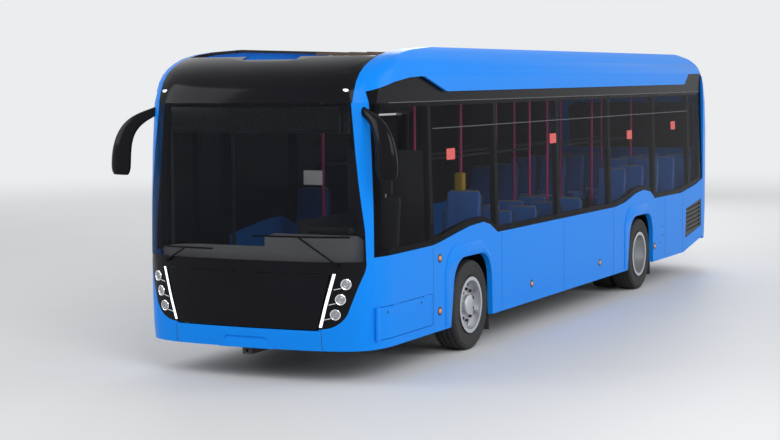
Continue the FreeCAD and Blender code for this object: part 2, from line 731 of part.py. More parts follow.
def jamb_seams(start, low, high):
    """The seams on the right that part a doorway's sill, or the strip above it, from the panels beside it."""
    span = doorway_block(start).BoundBox
    return [box(-HALF - BEYOND, -BEYOND, y, y + PANEL_SEAM, low - 1, high + 1)
            for y in (span.YMin - PANEL_SEAM, span.YMax)]


def lower_sides():
    zone = box(0, HALF, back(FRONT_CORNER_Y + PANEL_SEAM), back(REAR_PANEL_Y), SKIRT_Z, BELT_Z + FLOOR_Z)
    left = body_shell(WALL).common(zone).cut(belt_block(0))
    for axle_y in (FRONT_AXLE_Y, REAR_AXLE_Y):
        left = left.cut(arch_block(axle_y))
    tail_rise = plate_x([(ahead(TAIL_RISE_LENGTH), SKIRT_Z), (ahead(TAIL_RISE_LENGTH), 0), (REAR_Y, 0),
                         (REAR_Y, SKIRT_Z + TAIL_RISE)], 0, HALF + BEYOND)
    left = left.cut(tail_rise)
    right = mirrored(left)
    for start in DOORWAY_YS:
        right = right.cut([doorway_block(start)] + jamb_seams(start, SKIRT_Z, FLOOR_Z))
    write("right_side", right)

    y0, y1, z0, z1 = FLAP
    hinges = [(HALF, back(y), z1 - LID_GAP / 2) for y in FLAP_HINGE_YS]
    left = left.cut(box(0, HALF + BEYOND, back(y0), back(y1), z0, z1))
    left = left.cut(plate_x([(ahead(y), z) for y, z in GRILLE], 0, HALF + BEYOND))
    write("left_side", with_ears(left, hinges, "y"))
    face, gap = HALF - COWL_SETBACK, LID_GAP
    zone = box(face - FLAP_THICKNESS, face, back(y0 + gap), back(y1 - gap), z0 + gap, z1 - gap)
    write("service_flap", with_knuckles(body_shell(WALL).common(zone), hinges, "y"))
    write("side_grille", side_grille())


def side_grille():
    """A plate in its hole in the side, with slanting grooves between the blades."""
    centre_y = sum(y for y, z in GRILLE) / len(GRILLE)
    centre_z = sum(z for y, z in GRILLE) / len(GRILLE)
    outline = [(ahead(y - math.copysign(SEAT_GAP, y - centre_y)), z - math.copysign(SEAT_GAP, z - centre_z))
               for y, z in GRILLE]
    face = HALF - GRILLE_SETBACK
    grille = plate_x(outline, face - GRILLE_THICKNESS, face)
    front, rear = ahead(GRILLE[0][0] - BEYOND), ahead(GRILLE[1][0] + BEYOND)
    for i in range(GRILLE_BLADES):
        z = GRILLE[1][1] - FAIRING_THICKNESS + GRILLE_BLADE_PITCH * i
        grille = grille.cut(plate_x([(front, z), (rear, z + 50), (rear, z + 80), (front, z + 30)],
                                    face - GRILLE_THICKNESS / 2, HALF))
    return grille


# Window band


@lru_cache(maxsize=None)
def band_block(depth):
    """All that lies inside the leaning window band on the left, this deep under the face of its glass."""
    low_x, high_x = HALF - GLASS_SETBACK_LOW - depth, HALF - GLASS_SETBACK_HIGH - depth
    corners = [(0, GLASS_FOOT_Z), (low_x, GLASS_FOOT_Z), (high_x, GLASS_TOP_Z), (high_x - 5, ROOF_EDGE_Z),
               (0, ROOF_EDGE_Z)]
    inset = GLASS_SETBACK_LOW + depth
    return plate_y(corners, FRONT_Y, REAR_Y).common(end_block("nose", inset)).common(end_block("tail", inset))


def band_x(z, depth):
    """How far out the leaning window band lies at this height, at a depth below its glass."""
    share = (z - GLASS_FOOT_Z) / (GLASS_TOP_Z - GLASS_FOOT_Z)
    return HALF - GLASS_SETBACK_LOW - share * (GLASS_SETBACK_HIGH - GLASS_SETBACK_LOW) - depth


def roof_edge_x():
    return band_x(GLASS_TOP_Z, GLASS_THICKNESS + WALL + PANEL_SEAM) - 5


def left_bars():
    """The window bars that stand ahead of the rear panel."""
    return [bar for bar in LEFT_BARS if bar < REAR_PANEL_Y - 2 * WINDOW_TO_REAR_PANEL]


def right_bays():
    """The glazed stretches of the right side, between the doorways and the bars."""
    edges = [[start - DOOR_PILLAR, start + DOORWAY_SPAN + DOOR_PILLAR] for start in DOORWAY_YS]
    stops = [edge for pair in edges for edge in pair][1:] + [REAR_PANEL_Y - PANEL_SEAM]
    bays = []
    for first, last in zip(stops[::2], stops[1::2]):
        inner = [bar for bar in RIGHT_BARS if first + SHORTEST_BAY < bar < last - SHORTEST_BAY]
        bays += list(zip([first] + inner, inner + [last]))
    return bays


def hole_between(first, last):
    """A window opening on the left, down to its sill above the belt."""
    hole = box(BEYOND, HALF + BEYOND, back(first), back(last), GLASS_FOOT_Z, WINDOW_HEAD_Z)
    return hole.common(belt_block(WINDOW_SILL_ABOVE_BELT))


def panes(glass, edges, gap):
    """Flush-bonded panes on the left, parted at the inner edges."""
    result = []
    for i, (first, last) in enumerate(zip(edges, edges[1:])):
        y0 = first + (gap / 2 if i else PANEL_SEAM)
        y1 = last - (gap / 2 if i < len(edges) - 2 else PANEL_SEAM)
        result.append(glass.common(box(0, HALF, back(y0), back(y1), GLASS_FOOT_Z, GLASS_TOP_Z)))
    return result


def window_band():
    skin = GLASS_THICKNESS + SEAT_GAP
    frame = band_block(skin).cut(band_block(GLASS_THICKNESS + WALL))
    over_glass = box(0, HALF, FRONT_Y, REAR_Y, GLASS_TOP_Z + PANEL_SEAM, ROOF_EDGE_Z)
    head = band_block(0).cut(band_block(skin + 1)).common(over_glass)
    start, end = back(FRONT_CORNER_Y + PANEL_SEAM), back(REAR_PANEL_Y - PANEL_SEAM)
    zone = box(0, HALF, start, end, GLASS_FOOT_Z, ROOF_EDGE_Z)
    frame = frame.fuse(head).common(zone).common(belt_block(PANEL_SEAM)).removeSplitter()
    roof_room = box(0, roof_edge_x() + PANEL_SEAM, FRONT_Y, REAR_Y, CEILING_Z - PANEL_SEAM, ROOF_EDGE_Z)
    frame = frame.cut([roof_room, box(0, HALF - BAND_REACH, FRONT_Y, REAR_Y, GLASS_FOOT_Z, ROOF_EDGE_Z)])
    bars = left_bars()
    firsts = [WINDOW_FRONT] + [bar + PILLAR_WIDTH / 2 for bar in bars]
    lasts = [bar - PILLAR_WIDTH / 2 for bar in bars] + [REAR_PANEL_Y - WINDOW_TO_REAR_PANEL]
    write("left_window_frame", frame.cut([hole_between(y0, y1) for y0, y1 in zip(firsts, lasts)]))

    bays = right_bays()
    right = mirrored(frame.cut([hole_between(y0 + DOOR_PILLAR, y1 - DOOR_PILLAR) for y0, y1 in bays]))
    room = DOOR_POST_RADIUS + DOOR_CLEARANCE
    for start in DOORWAY_YS:
        posts = box(-POST_LINE_X - room, 0, back(start) - room, back(start) + DOORWAY_SPAN + room, FLOOR_Z,
                    DOORWAY_HEAD_Z)
        right = right.cut([doorway_block(start), posts] + jamb_seams(start, DOORWAY_HEAD_Z, ROOF_EDGE_Z))
    write("right_window_frame", right)

    glass = band_block(0).cut(band_block(GLASS_THICKNESS)).common(belt_block(PANEL_SEAM))
    left_panes = panes(glass, [FRONT_CORNER_Y] + bars + [REAR_PANEL_Y], PANE_GAP)
    right_panes = [mirrored(pane) for first, last in bays for pane in panes(glass, [first, last], PANE_GAP)]
    write("side_glazing", left_panes + right_panes)


# Roof


def roof_and_fairings():
    edge_x = roof_edge_x()
    roof = plate_y([(edge_x, CEILING_Z), (edge_x, ROOF_EDGE_Z), (0, ROOF_CROWN_Z), (-edge_x, ROOF_EDGE_Z),
                    (-edge_x, CEILING_Z), (0, ROOF_CROWN_Z - ROOF_THICKNESS)], FRONT_Y, REAR_Y)
    roof = roof.common(end_block("nose", TOP_PANEL_THICKNESS + PANEL_SEAM))
    write("roof", roof.common(end_block("tail", REAR_SHELL_THICKNESS + 5)))

    foot = WINDSCREEN_HEAD_Z + PANEL_SEAM
    top = HEIGHT + BEYOND
    corners = [(FRONT_Y - BEYOND, top), (FRONT_Y - BEYOND, foot), (back(FRONT_CORNER_Y), foot)]
    corners += [(back(y), z) for y, z in FAIRING_EDGE_FRONT]
    corners += [(ahead(y), z) for y, z in FAIRING_EDGE_REAR] + [(ahead(REAR_PANEL_DEPTH), top)]
    side = body_shell(FAIRING_THICKNESS).common(plate_x(corners, 0, HALF)).cut(
        front_zone(TOP_FRONT, PANEL_SEAM, foot - WALL))
    side = side.cut(box(0, FAIRING_INNER_X, back(FAIRING_START), REAR_Y, foot, top))
    room = box(0, HALF, back(FRONT_CORNER_Y), REAR_Y, foot - WALL, ROOF_EDGE_Z + SEAT_GAP)
    taller = band_block(-SEAT_GAP).fuse(band_block(-SEAT_GAP).translated(V(0, 0, SEAT_GAP)))
    side = side.cut(taller.common(room))
    ledge = box(edge_x + 4, HALF, back(FAIRING_START), ahead(FAIRING_START), ROOF_EDGE_Z + SEAT_GAP,
                ROOF_EDGE_Z + FAIRING_LEDGE).common(body_block(FAIRING_THICKNESS / 2))
    side = side.fuse(ledge).removeSplitter()
    write("left_fairing", side)
    write("right_fairing", mirrored(side))

    half, foot = PACK_HALF_WIDTH, ROOF_CROWN_Z + SEAT_GAP
    head = foot + PACK_HEIGHT
    outline = mirrored_outline(((half, foot), (half, head - 45), (half - 90, head)))
    starts = [back(PACK_FIRST_Y + i * PACK_PITCH) for i in range(PACK_COUNT)]
    last_end = ahead(ROOF_UNIT_TO_TAIL + ROOF_UNIT_LENGTH)
    write("battery_packs", [plate_y(outline, y, y + PACK_LENGTH) for y in starts if y + PACK_LENGTH < last_end])
    outline = mirrored_outline(((half, foot), (half, head - 70), (half - 160, head)))
    write("roof_unit", plate_y(outline, last_end, ahead(ROOF_UNIT_TO_TAIL)))


# Rear end


def rear_end():
    panel = body_shell(REAR_SHELL_THICKNESS).common(box(-HALF, HALF, back(REAR_PANEL_Y + PANEL_SEAM), REAR_Y,
                                                        REAR_SHELL_FOOT_Z, ROOF_EDGE_Z))

    def behind(outline):
        return plate_y(outline, ahead(REAR_PANEL_DEPTH / 2), REAR_Y + BEYOND)

    half, low, high, radius = LID
    hinges = end_hinges(tail_y, high)
    glass_half, glass_low, glass_high, glass_radius = REAR_GLASS
    holes = [behind(rectangle(half, low, high, radius)), behind(rectangle(glass_half, glass_low, glass_high,
                                                                         glass_radius))]
    lamps = []
    for side in (1, -1):
        for z in TAIL_LAMP_ZS:
            ends = (side * TAIL_LAMP_X, ahead(REAR_PANEL_DEPTH), z), (side * TAIL_LAMP_X, REAR_Y + BEYOND, z)
            holes.append(rod(TAIL_LAMP_RADIUS + SEAT_GAP, *ends, LAMP_SIDES))
            lamps.append(end_panel("tail", WALL, rod(TAIL_LAMP_RADIUS, *ends, LAMP_SIDES), 1))
    write("tail_lamps", lamps)
    write("rear_shell", with_ears(panel.cut(holes), hinges, "x"))
    lid = behind(rectangle(half - LID_GAP, low + LID_GAP, high - LID_GAP, radius - LID_GAP))
    lid = end_panel("tail", HATCH_THICKNESS, lid, COWL_SETBACK)
    write("rear_lid", with_knuckles(lid, hinges, "x"))
    glass = behind(rectangle(glass_half - SEAT_GAP, glass_low + SEAT_GAP, glass_high - SEAT_GAP, glass_radius))
    write("rear_window", end_panel("tail", GLASS_THICKNESS, glass, COWL_SETBACK + 1))


# Floor, wheel boxes and frame


def arch_outline(axle_y, foot_z, inset):
    """A wheel box seen from the side, its top corners cut off at a slant."""
    reach = WHEEL_BOX_HALF_LENGTH - PANEL_SEAM - inset
    top = WHEEL_BOX_TOP_Z - inset
    cut = WHEEL_BOX_CHAMFER - inset / 2
    return [(axle_y - reach, foot_z), (axle_y - reach, top - cut), (axle_y - reach + cut, top),
            (axle_y + reach - cut, top), (axle_y + reach, top - cut), (axle_y + reach, foot_z)]


def wheel_boxes():
    low = FLOOR_Z - FLOOR_THICKNESS
    edge = INNER_WALL_X - PANEL_SEAM
    boxes = []
    for axle_y, inner_x in ((FRONT_AXLE_Y, FRONT_BOX_INNER_X), (REAR_AXLE_Y, REAR_BOX_INNER_X)):
        inner_x += PANEL_SEAM
        outer = plate_x(arch_outline(axle_y, low, 0), inner_x, edge)
        wall_x = inner_x + WHEEL_BOX_WALL
        inner = plate_x(arch_outline(axle_y, low - BEYOND, WHEEL_BOX_WALL), wall_x, edge + BEYOND)
        wheel_box = outer.cut(inner)
        if axle_y == REAR_AXLE_Y:
            room = REAR_TUBE_RADIUS + BEYOND
            wheel_box = wheel_box.cut(box(inner_x - 1, wall_x + 1, axle_y - room, axle_y + room, low - 1,
                                          TYRE_RADIUS + room))
        boxes += both_sides(wheel_box)
    write("wheel_boxes", boxes)


def floor():
    low, rear_low = FLOOR_Z - FLOOR_THICKNESS, REAR_FLOOR_Z - FLOOR_THICKNESS
    edge = INNER_WALL_X - PANEL_SEAM
    slab = box(-edge, edge, FRONT_Y, STEP_Y, low, FLOOR_Z)
    rear = box(-edge, edge, STEP_Y, REAR_Y, rear_low, REAR_FLOOR_Z).common(end_block("tail", FLOOR_INSET))
    riser = box(-edge, edge, STEP_Y - FLOOR_THICKNESS, STEP_Y, low, REAR_FLOOR_Z)
    step = box(-STEP_HALF_WIDTH, STEP_HALF_WIDTH, STEP_Y - STEP_DEPTH, STEP_Y - FLOOR_THICKNESS, FLOOR_Z,
               FLOOR_Z + STEP_HEIGHT)
    cab = box(CAB_INNER_X, edge, back(CAB_FRONT_Y), back(CAB_REAR_Y), CAB_FLOOR_Z - FLOOR_THICKNESS, CAB_FLOOR_Z)
    cab_wall = box(CAB_INNER_X, CAB_INNER_X + FLOOR_THICKNESS, back(CAB_FRONT_Y), back(CAB_REAR_Y), FLOOR_Z,
                   CAB_FLOOR_Z)
    front = fuse([slab, cab, cab_wall]).common(end_block("nose", FLOOR_INSET))
    whole = fuse([front, rear, riser, step])
    for axle_y, inner_x in ((FRONT_AXLE_Y, FRONT_BOX_INNER_X), (REAR_AXLE_Y, REAR_BOX_INNER_X)):
        hole = box(inner_x, edge + 1, axle_y - WHEEL_BOX_HALF_LENGTH, axle_y + WHEEL_BOX_HALF_LENGTH, low - 1,
                   REAR_FLOOR_Z + 1)
        whole = whole.cut(both_sides(hole))
    write("floor", whole)


def frame_part(half, ends, cross_ys, low, top):
    """Two rails along the bus, tied by cross members that are a little shallower."""
    shapes = both_sides(box(half - RAIL_WIDTH, half, ends[0], ends[1], low, top))
    shapes += [box(-half, half, y, y + CROSS_MEMBER, low + CROSS_MEMBER_SETBACK, top) for y in cross_ys]
    return shapes


def chassis_frame():
    top = FLOOR_Z - FLOOR_THICKNESS - SEAT_GAP
    ends = back(FRAME_START), STEP_Y - FRAME_SPLIT
    count = int((ends[1] - ends[0]) / FRAME_PITCH)
    cross_ys = [ends[0] + FRAME_FIRST_CROSS + i * FRAME_PITCH for i in range(count)]
    shapes = frame_part(FRAME_RAIL_X, ends, cross_ys, FRAME_LOW_Z, top)
    bar_start = back(TOWING_BAR_START)
    bar = box(-TOWING_BAR_HALF_WIDTH, TOWING_BAR_HALF_WIDTH, bar_start, cross_ys[0] + CROSS_MEMBER / 2,
              TOWING_BAR_LOW_Z, top)
    bore = cylinder(TOWING_BORE_RADIUS, (0, bar_start - 1, TOWING_BORE_Z),
                    (0, bar_start + TOWING_BORE_DEPTH, TOWING_BORE_Z))
    front = fuse(shapes + [bar.cut(bore)])
    front = front.cut(box(-KINGPIN_X, KINGPIN_X, FRONT_AXLE_Y - AXLE_ROOM, FRONT_AXLE_Y + AXLE_ROOM, 0,
                          SPRING_PAD_TOP_Z))
    top = REAR_FLOOR_Z - FLOOR_THICKNESS - SEAT_GAP
    ends = STEP_Y + FRAME_SPLIT, ahead(REAR_FRAME_TO_TAIL)
    first = REAR_AXLE_Y + POWER_UNIT_BEHIND_AXLE - CROSS_MEMBER
    second = REAR_AXLE_Y + POWER_UNIT_BEHIND_AXLE + POWER_UNIT[1]
    rear = fuse(frame_part(REAR_RAIL_X, ends, [ends[0], first, second, ends[1] - CROSS_MEMBER], REAR_FRAME_LOW_Z,
                           top))
    rear = rear.cut(box(-KINGPIN_X, KINGPIN_X, REAR_AXLE_Y - REAR_AXLE_ROOM, REAR_AXLE_Y + REAR_AXLE_ROOM, 0,
                        AIR_SPRING_TOP_Z))
    write("chassis_frame", [front, rear])
    width, length, low = POWER_UNIT
    y = REAR_AXLE_Y + POWER_UNIT_BEHIND_AXLE
    write("power_unit", box(-width / 2, width / 2, y, y + length, low, REAR_FRAME_LOW_Z - SEAT_GAP))


# Wheels: tyres and rims share the same flat facets, so that the beads lie evenly on their seats


def tyre(x, y):
    """A tyre whose side walls bulge from the beads and meet the tread at sloping shoulders."""
    half = TYRE_WIDTH / 2
    bead = RIM_SEAT_RADIUS + SEAT_GAP
    side = [(half - 14, bead), (half, (bead + TYRE_RADIUS) / 2), (half - 10, TYRE_RADIUS - 26),
            (half - 34, TYRE_RADIUS)]
    return faceted_ring(side + [(-a, r) for a, r in reversed(side)], (x, y, TYRE_RADIUS), TYRE_SIDES)


def rim(side, x, y):
    """The rim: a band under the beads with turned-up flanges."""
    seat_half = TYRE_WIDTH / 2 - 12
    edge = seat_half + RIM_FLANGE
    well = RIM_SEAT_RADIUS - RIM_DEPTH + 6
    profile = [(-edge, RIM_FLANGE_RADIUS), (-edge, well), (edge, well), (edge, RIM_FLANGE_RADIUS),
               (seat_half, RIM_SEAT_RADIUS), (-seat_half, RIM_SEAT_RADIUS)]
    return faceted_ring([(side * a, r) for a, r in profile], (x, y, TYRE_RADIUS), TYRE_SIDES)


def disc(side, x, y, root, dish, bore):
    """The wheel disc: a cone from the rim to a flat face at the dish, with hand holes through the cone."""
    well = RIM_SEAT_RADIUS - RIM_DEPTH + 7
    face = dish + DISC_THICKNESS
    profile = [(root, well), (root + DISC_THICKNESS + 2, well), (face, DISC_FACE_RADIUS), (face, bore),
               (dish, bore), (dish, DISC_FACE_RADIUS - 6)]
    plate = faceted_ring([(side * a, r) for a, r in profile], (x, y, TYRE_RADIUS), TYRE_SIDES)
    low, high = sorted((x + side * (dish - HAND_HOLE_REACH), x + side * (dish + HAND_HOLE_REACH)))
    half = HAND_HOLE_SIZE / 2
    holes = []
    for i in range(HAND_HOLES):
        hole = box(low, high, y - half, y + half, TYRE_RADIUS + HAND_HOLE_CIRCLE - half,
                   TYRE_RADIUS + HAND_HOLE_CIRCLE + half)
        hole.rotate(V(x, y, TYRE_RADIUS), V(1, 0, 0), 360 * (i + 0.5) / HAND_HOLES)
        holes.append(hole)
    return plate.cut(holes)


def hub(side, x, y, profile):
    return turned([(side * a, r) for a, r in profile], (x, y, TYRE_RADIUS))


def wheels():
    for side, name in ((1, "left"), (-1, "right")):
        x = side * TYRE_X
        twin_x = side * (TYRE_X - TWIN_SPACING)
        write("front_%s_tyre" % name, tyre(x, FRONT_AXLE_Y))
        write("rear_%s_tyres" % name, [tyre(x, REAR_AXLE_Y), tyre(twin_x, REAR_AXLE_Y)])
        bore = STUB_RADIUS + RUNNING_CLEARANCE
        inner, face, end = FRONT_DISH - 40, FRONT_DISH + DISC_THICKNESS, FRONT_DISH + HUB_END
        profile = [(inner, bore), (inner, HUB_RADIUS), (face, HUB_RADIUS), (face, HUB_RADIUS - 18),
                   (end, HUB_RADIUS - 30), (end, 0), (end - HUB_CAP, 0), (end - HUB_CAP, bore)]
        write("front_%s_wheel" % name, fuse([rim(side, x, FRONT_AXLE_Y),
                                             disc(side, x, FRONT_AXLE_Y, 30, FRONT_DISH, HUB_RADIUS - 10),
                                             hub(side, x, FRONT_AXLE_Y, profile)]))
        bore = REAR_TUBE_RADIUS + RUNNING_CLEARANCE
        profile = [(REAR_HUB_INNER, bore), (REAR_HUB_INNER, REAR_HUB_RADIUS),
                   (REAR_HUB_OUTER - 60, REAR_HUB_RADIUS), (REAR_HUB_OUTER, HUB_RADIUS - 10), (REAR_HUB_OUTER, 0),
                   (REAR_HUB_OUTER - HUB_CAP, 0), (REAR_HUB_OUTER - HUB_CAP, bore)]
        discs = [disc(s, at, REAR_AXLE_Y, -100, TWIN_DISH, REAR_HUB_RADIUS - 10)
                 for s, at in ((side, x), (-side, twin_x))]
        rims = [rim(side, at, REAR_AXLE_Y) for at in (x, twin_x)]
        write("rear_%s_wheels" % name, fuse(rims + discs + [hub(side, x, REAR_AXLE_Y, profile)]))


# Axles


def front_axle():
    y, z = FRONT_AXLE_Y, TYRE_RADIUS
    low, high = z - EYE_HALF_HEIGHT, z + EYE_HALF_HEIGHT
    left = [(0, BEAM_LOW_Z), (KINGPIN_X - 245, BEAM_LOW_Z), (KINGPIN_X - 80, low), (KINGPIN_X, low),
            (KINGPIN_X, high), (KINGPIN_X - 105, high), (KINGPIN_X - 285, BEAM_HIGH_Z), (0, BEAM_HIGH_Z)]
    beam = plate_y(left, y - BEAM_HALF_DEPTH, y + BEAM_HALF_DEPTH)
    beam = beam.fuse(cylinder(EYE_RADIUS, (KINGPIN_X, y, low), (KINGPIN_X, y, high)))
    beam = beam.cut(cylinder(KINGPIN_RADIUS + RUNNING_CLEARANCE, (KINGPIN_X, y, low - 1), (KINGPIN_X, y, high + 1)))
    pad = box(SPRING_PAD_X, SPRING_PAD_X + RAIL_WIDTH, y - BEAM_HALF_DEPTH, y + BEAM_HALF_DEPTH,
              (BEAM_LOW_Z + BEAM_HIGH_Z) / 2, SPRING_PAD_TOP_Z - SEAT_GAP)
    write("front_axle", fuse(both_sides(beam) + both_sides(pad)))


def knuckle():
    """The left knuckle: its kingpin and two lugs hold the beam's eye, and its stub carries the wheel."""
    y, z = FRONT_AXLE_Y, TYRE_RADIUS
    low, high = z - EYE_HALF_HEIGHT - SEAT_GAP, z + EYE_HALF_HEIGHT + SEAT_GAP
    web_x, flange_x = KINGPIN_X + WEB_OFFSET, KINGPIN_X + WEB_OFFSET + WEB_THICKNESS
    shapes = [cylinder(KINGPIN_RADIUS, (KINGPIN_X, y, low - LUG_HEIGHT), (KINGPIN_X, y, high + LUG_HEIGHT)),
              box(web_x, flange_x, y - BEAM_HALF_DEPTH - KNUCKLE_EDGE, y + BEAM_HALF_DEPTH + KNUCKLE_EDGE,
                  low - LUG_HEIGHT, high + LUG_HEIGHT),
              cylinder(STUB_RADIUS, (web_x, y, z), (TYRE_X + FRONT_DISH + HUB_END - HUB_CAP - SEAT_GAP, y, z)),
              rod(BRAKE_RADIUS, (flange_x, y, z), (TYRE_X + FRONT_DISH - BRAKE_TO_DISH, y, z), DRUM_SIDES)]
    for z0 in (low - LUG_HEIGHT, high):
        shapes.append(cylinder(EYE_RADIUS, (KINGPIN_X, y, z0), (KINGPIN_X, y, z0 + LUG_HEIGHT)))
        shapes.append(box(KINGPIN_X, flange_x, y - EYE_RADIUS, y + EYE_RADIUS, z0, z0 + LUG_HEIGHT))
    return fuse(shapes)


def rear_axle():
    y, z = REAR_AXLE_Y, TYRE_RADIUS
    end = TYRE_X + REAR_HUB_OUTER - HUB_CAP - SEAT_GAP
    half, radius = CASING_HALF_LENGTH, CASING_RADIUS
    small = REAR_TUBE_RADIUS - 10
    profile = [(-half, small), (-half, REAR_TUBE_RADIUS + 10), (-half / 4, radius), (half / 4, radius),
               (half, REAR_TUBE_RADIUS + 10), (half, small)]
    shapes = [cylinder(REAR_TUBE_RADIUS, (-end, y, z), (end, y, z)), faceted_ring(profile, (0, y, z), DRUM_SIDES)]
    drum_x = TYRE_X + REAR_HUB_INNER - DRUM_GAP
    spring_top = AIR_SPRING_TOP_Z - SEAT_GAP
    shapes += both_sides(rod(DRUM_RADIUS, (drum_x - DRUM_LENGTH, y, z), (drum_x, y, z), DRUM_SIDES))
    shapes += both_sides(rod(AIR_SPRING_RADIUS, (AIR_SPRING_X, y, z), (AIR_SPRING_X, y, spring_top), DRUM_SIDES))
    write("rear_axle", fuse(shapes))


def axles():
    front_axle()
    left = knuckle()
    write("left_knuckle", left)
    write("right_knuckle", mirrored(left))
    rear_axle()


# Doors


def door_leaf(post_y, along):
    """A framed glass leaf hung at its middle; along is +1 where it reaches rearward from its post."""
    y0, y1 = sorted((post_y + along * LEAF_POST_INSET, post_y + along * (2 * DOOR_ARM - LEAF_MEETING_GAP)))
    face, inner = -LEAF_FACE_X, -LEAF_FACE_X + LEAF_THICKNESS

    def slab(inset, x0, x1):
        return box(x0, x1, y0 + inset, y1 - inset, LEAF_FOOT_Z + inset, LEAF_HEAD_Z - inset)

    hinge_y = post_y + along * DOOR_ARM
    shapes = [slab(0, face, inner).cut(slab(LEAF_RAIL, face - 1, inner + 1))]
    reach = ARM_HALF_WIDTH - 1
    height = LEAF_BRACKET_HEIGHT
    for z0, pin_end in ((LEAF_FOOT_Z, ARM_LOW_Z), (LEAF_HEAD_Z - height, ARM_HIGH_Z + ARM_THICKNESS)):
        shapes.append(box(inner - 1, -POST_LINE_X + reach, hinge_y - reach, hinge_y + reach, z0, z0 + height))
        low, high = sorted((z0 + height / 2, pin_end))
        shapes.append(cylinder(DOOR_PIN_RADIUS, (-POST_LINE_X, hinge_y, low), (-POST_LINE_X, hinge_y, high)))
    pane_face = face + LEAF_PANE_SETBACK
    return [fuse(shapes), slab(LEAF_RAIL + SEAT_GAP, pane_face, pane_face + LEAF_PANE_THICKNESS)]


def door_post(post_y, along):
    """A turning post with an arm that passes under the leaf and one that passes over it."""
    x = -POST_LINE_X
    hinge_y = post_y + along * DOOR_ARM
    y0, y1 = sorted((post_y, hinge_y))
    shapes = [cylinder(DOOR_POST_RADIUS, (x, post_y, FLOOR_Z + SEAT_GAP), (x, post_y, DOORWAY_HEAD_Z - SEAT_GAP))]
    bores = []
    for z0 in (ARM_LOW_Z, ARM_HIGH_Z):
        z1 = z0 + ARM_THICKNESS
        shapes.append(box(x - ARM_HALF_WIDTH, x + ARM_HALF_WIDTH, y0, y1, z0, z1))
        shapes.append(cylinder(ARM_HALF_WIDTH, (x, hinge_y, z0), (x, hinge_y, z1)))
        bores.append(cylinder(DOOR_PIN_RADIUS + RUNNING_CLEARANCE, (x, hinge_y, z0 - 1), (x, hinge_y, z1 + 1)))
    return fuse(shapes).cut(bores)


def doors():
    headers = []
    inside = band_block(GLASS_THICKNESS + WALL + SEAT_GAP)
    for start, place in zip(DOORWAY_YS, ("front", "middle")):
        first = back(start)
        last = first + DOORWAY_SPAN
        write("%s_door_post_a" % place, door_post(first, 1))
        write("%s_door_post_b" % place, door_post(last, -1))
        write("%s_door_leaf_a" % place, door_leaf(first, 1))
        write("%s_door_leaf_b" % place, door_leaf(last, -1))
        header = box(HEADER_INNER_X, HALF, first - DOOR_PILLAR, last + DOOR_PILLAR, DOORWAY_HEAD_Z,
                     DOORWAY_HEAD_Z + HEADER_HEIGHT)
        headers.append(mirrored(header.common(inside)))
    write("door_headers", headers)


# Cab


def dashboard():
    """The dashboard is higher before the driver and hollow underneath, and stands on a leg beside the cab."""
    start, end, foot = back(DASH_FRONT_Y), back(CAB_FRONT_Y), DASH_FOOT_Z
    hump = [(start, foot), (end - 60, foot), (end + 40, 1100), (end - 10, 1250), (end - 180, 1400), (start, 1380)]
    low = [(start, foot), (end, foot), (end, 1080), (end - 60, 1180), (start, 1290)]
    dash = fuse([plate_x(low, -HALF, CAB_INNER_X - 80), plate_x(hump, CAB_INNER_X - 80, INNER_WALL_X - 35)])
    dash = dash.common(end_block("nose", DASH_WALL_GAP))
    dash = dash.cut(box(-HALF, HALF, FRONT_Y, end - 80, 0, 1040))
    leg = box(CAB_INNER_X - 80, CAB_INNER_X, end - 80, end - DASH_LEG_GAP, FLOOR_Z + SEAT_GAP, foot + BEYOND)
    x, y, z = STEERING_HUB
    lean = (math.sin(WHEEL_TILT), math.cos(WHEEL_TILT))
    ends = [(x, y - reach * lean[0], z - reach * lean[1]) for reach in (COLUMN_REACH, HUB_DEPTH + SEAT_GAP)]
    write("dashboard", fuse([dash, leg, cylinder(COLUMN_RADIUS, *ends)]))


def steering_wheel():
    """A rim on three spokes; the shaft leans so that the wheel faces the driver."""
    centre = V(*STEERING_HUB)
    profile = [(-GRIP_RADIUS, WHEEL_RADIUS), (0, WHEEL_RADIUS + GRIP_RADIUS), (GRIP_RADIUS, WHEEL_RADIUS),
               (0, WHEEL_RADIUS - GRIP_RADIUS)]
    grip = faceted_ring(profile, STEERING_HUB, WHEEL_SIDES)
    grip.rotate(centre, V(0, 1, 0), 90)
    shapes = [grip, Part.makeCylinder(50, HUB_DEPTH + 10, centre - V(0, 0, HUB_DEPTH), V(0, 0, 1))]
    for angle in SPOKE_ANGLES:
        spoke = Part.makeBox(WHEEL_RADIUS, 2 * GRIP_RADIUS, 8, centre - V(0, GRIP_RADIUS, 4))
        spoke.rotate(centre, V(0, 0, 1), angle)
        shapes.append(spoke)
    wheel = fuse(shapes)
    wheel.rotate(centre, V(1, 0, 0), -math.degrees(WHEEL_TILT))
    return wheel


def driver_seat():
    x, y, foot = STEERING_HUB[0], back(DRIVER_SEAT_Y), CAB_FLOOR_Z + SEAT_GAP
    top = CAB_FLOOR_Z + DRIVER_CUSHION
    pedestal = box(x - 90, x + 90, y + 140, y + 340, foot, top)
    cushion = plate_x([(y, top), (y + 470, top), (y + 470, top + 95), (y + 40, top + 120), (y, top + 90)], x - 240,
                      x + 240)
    rest = plate_x([(y + 410, top + 80), (y + 520, top + 80), (y + 600, top + 740), (y + 520, top + 740)], x - 235,
                   x + 235)
    head = plate_x([(y + 520, top + 760), (y + 600, top + 760), (y + 610, top + 940), (y + 540, top + 940)], x - 130,
                   x + 130)
    stem = box(x - 60, x + 60, y + 550, y + 575, top + 720, top + 770)
    write("driver_seat", fuse([pedestal, cushion, rest, head, stem]))


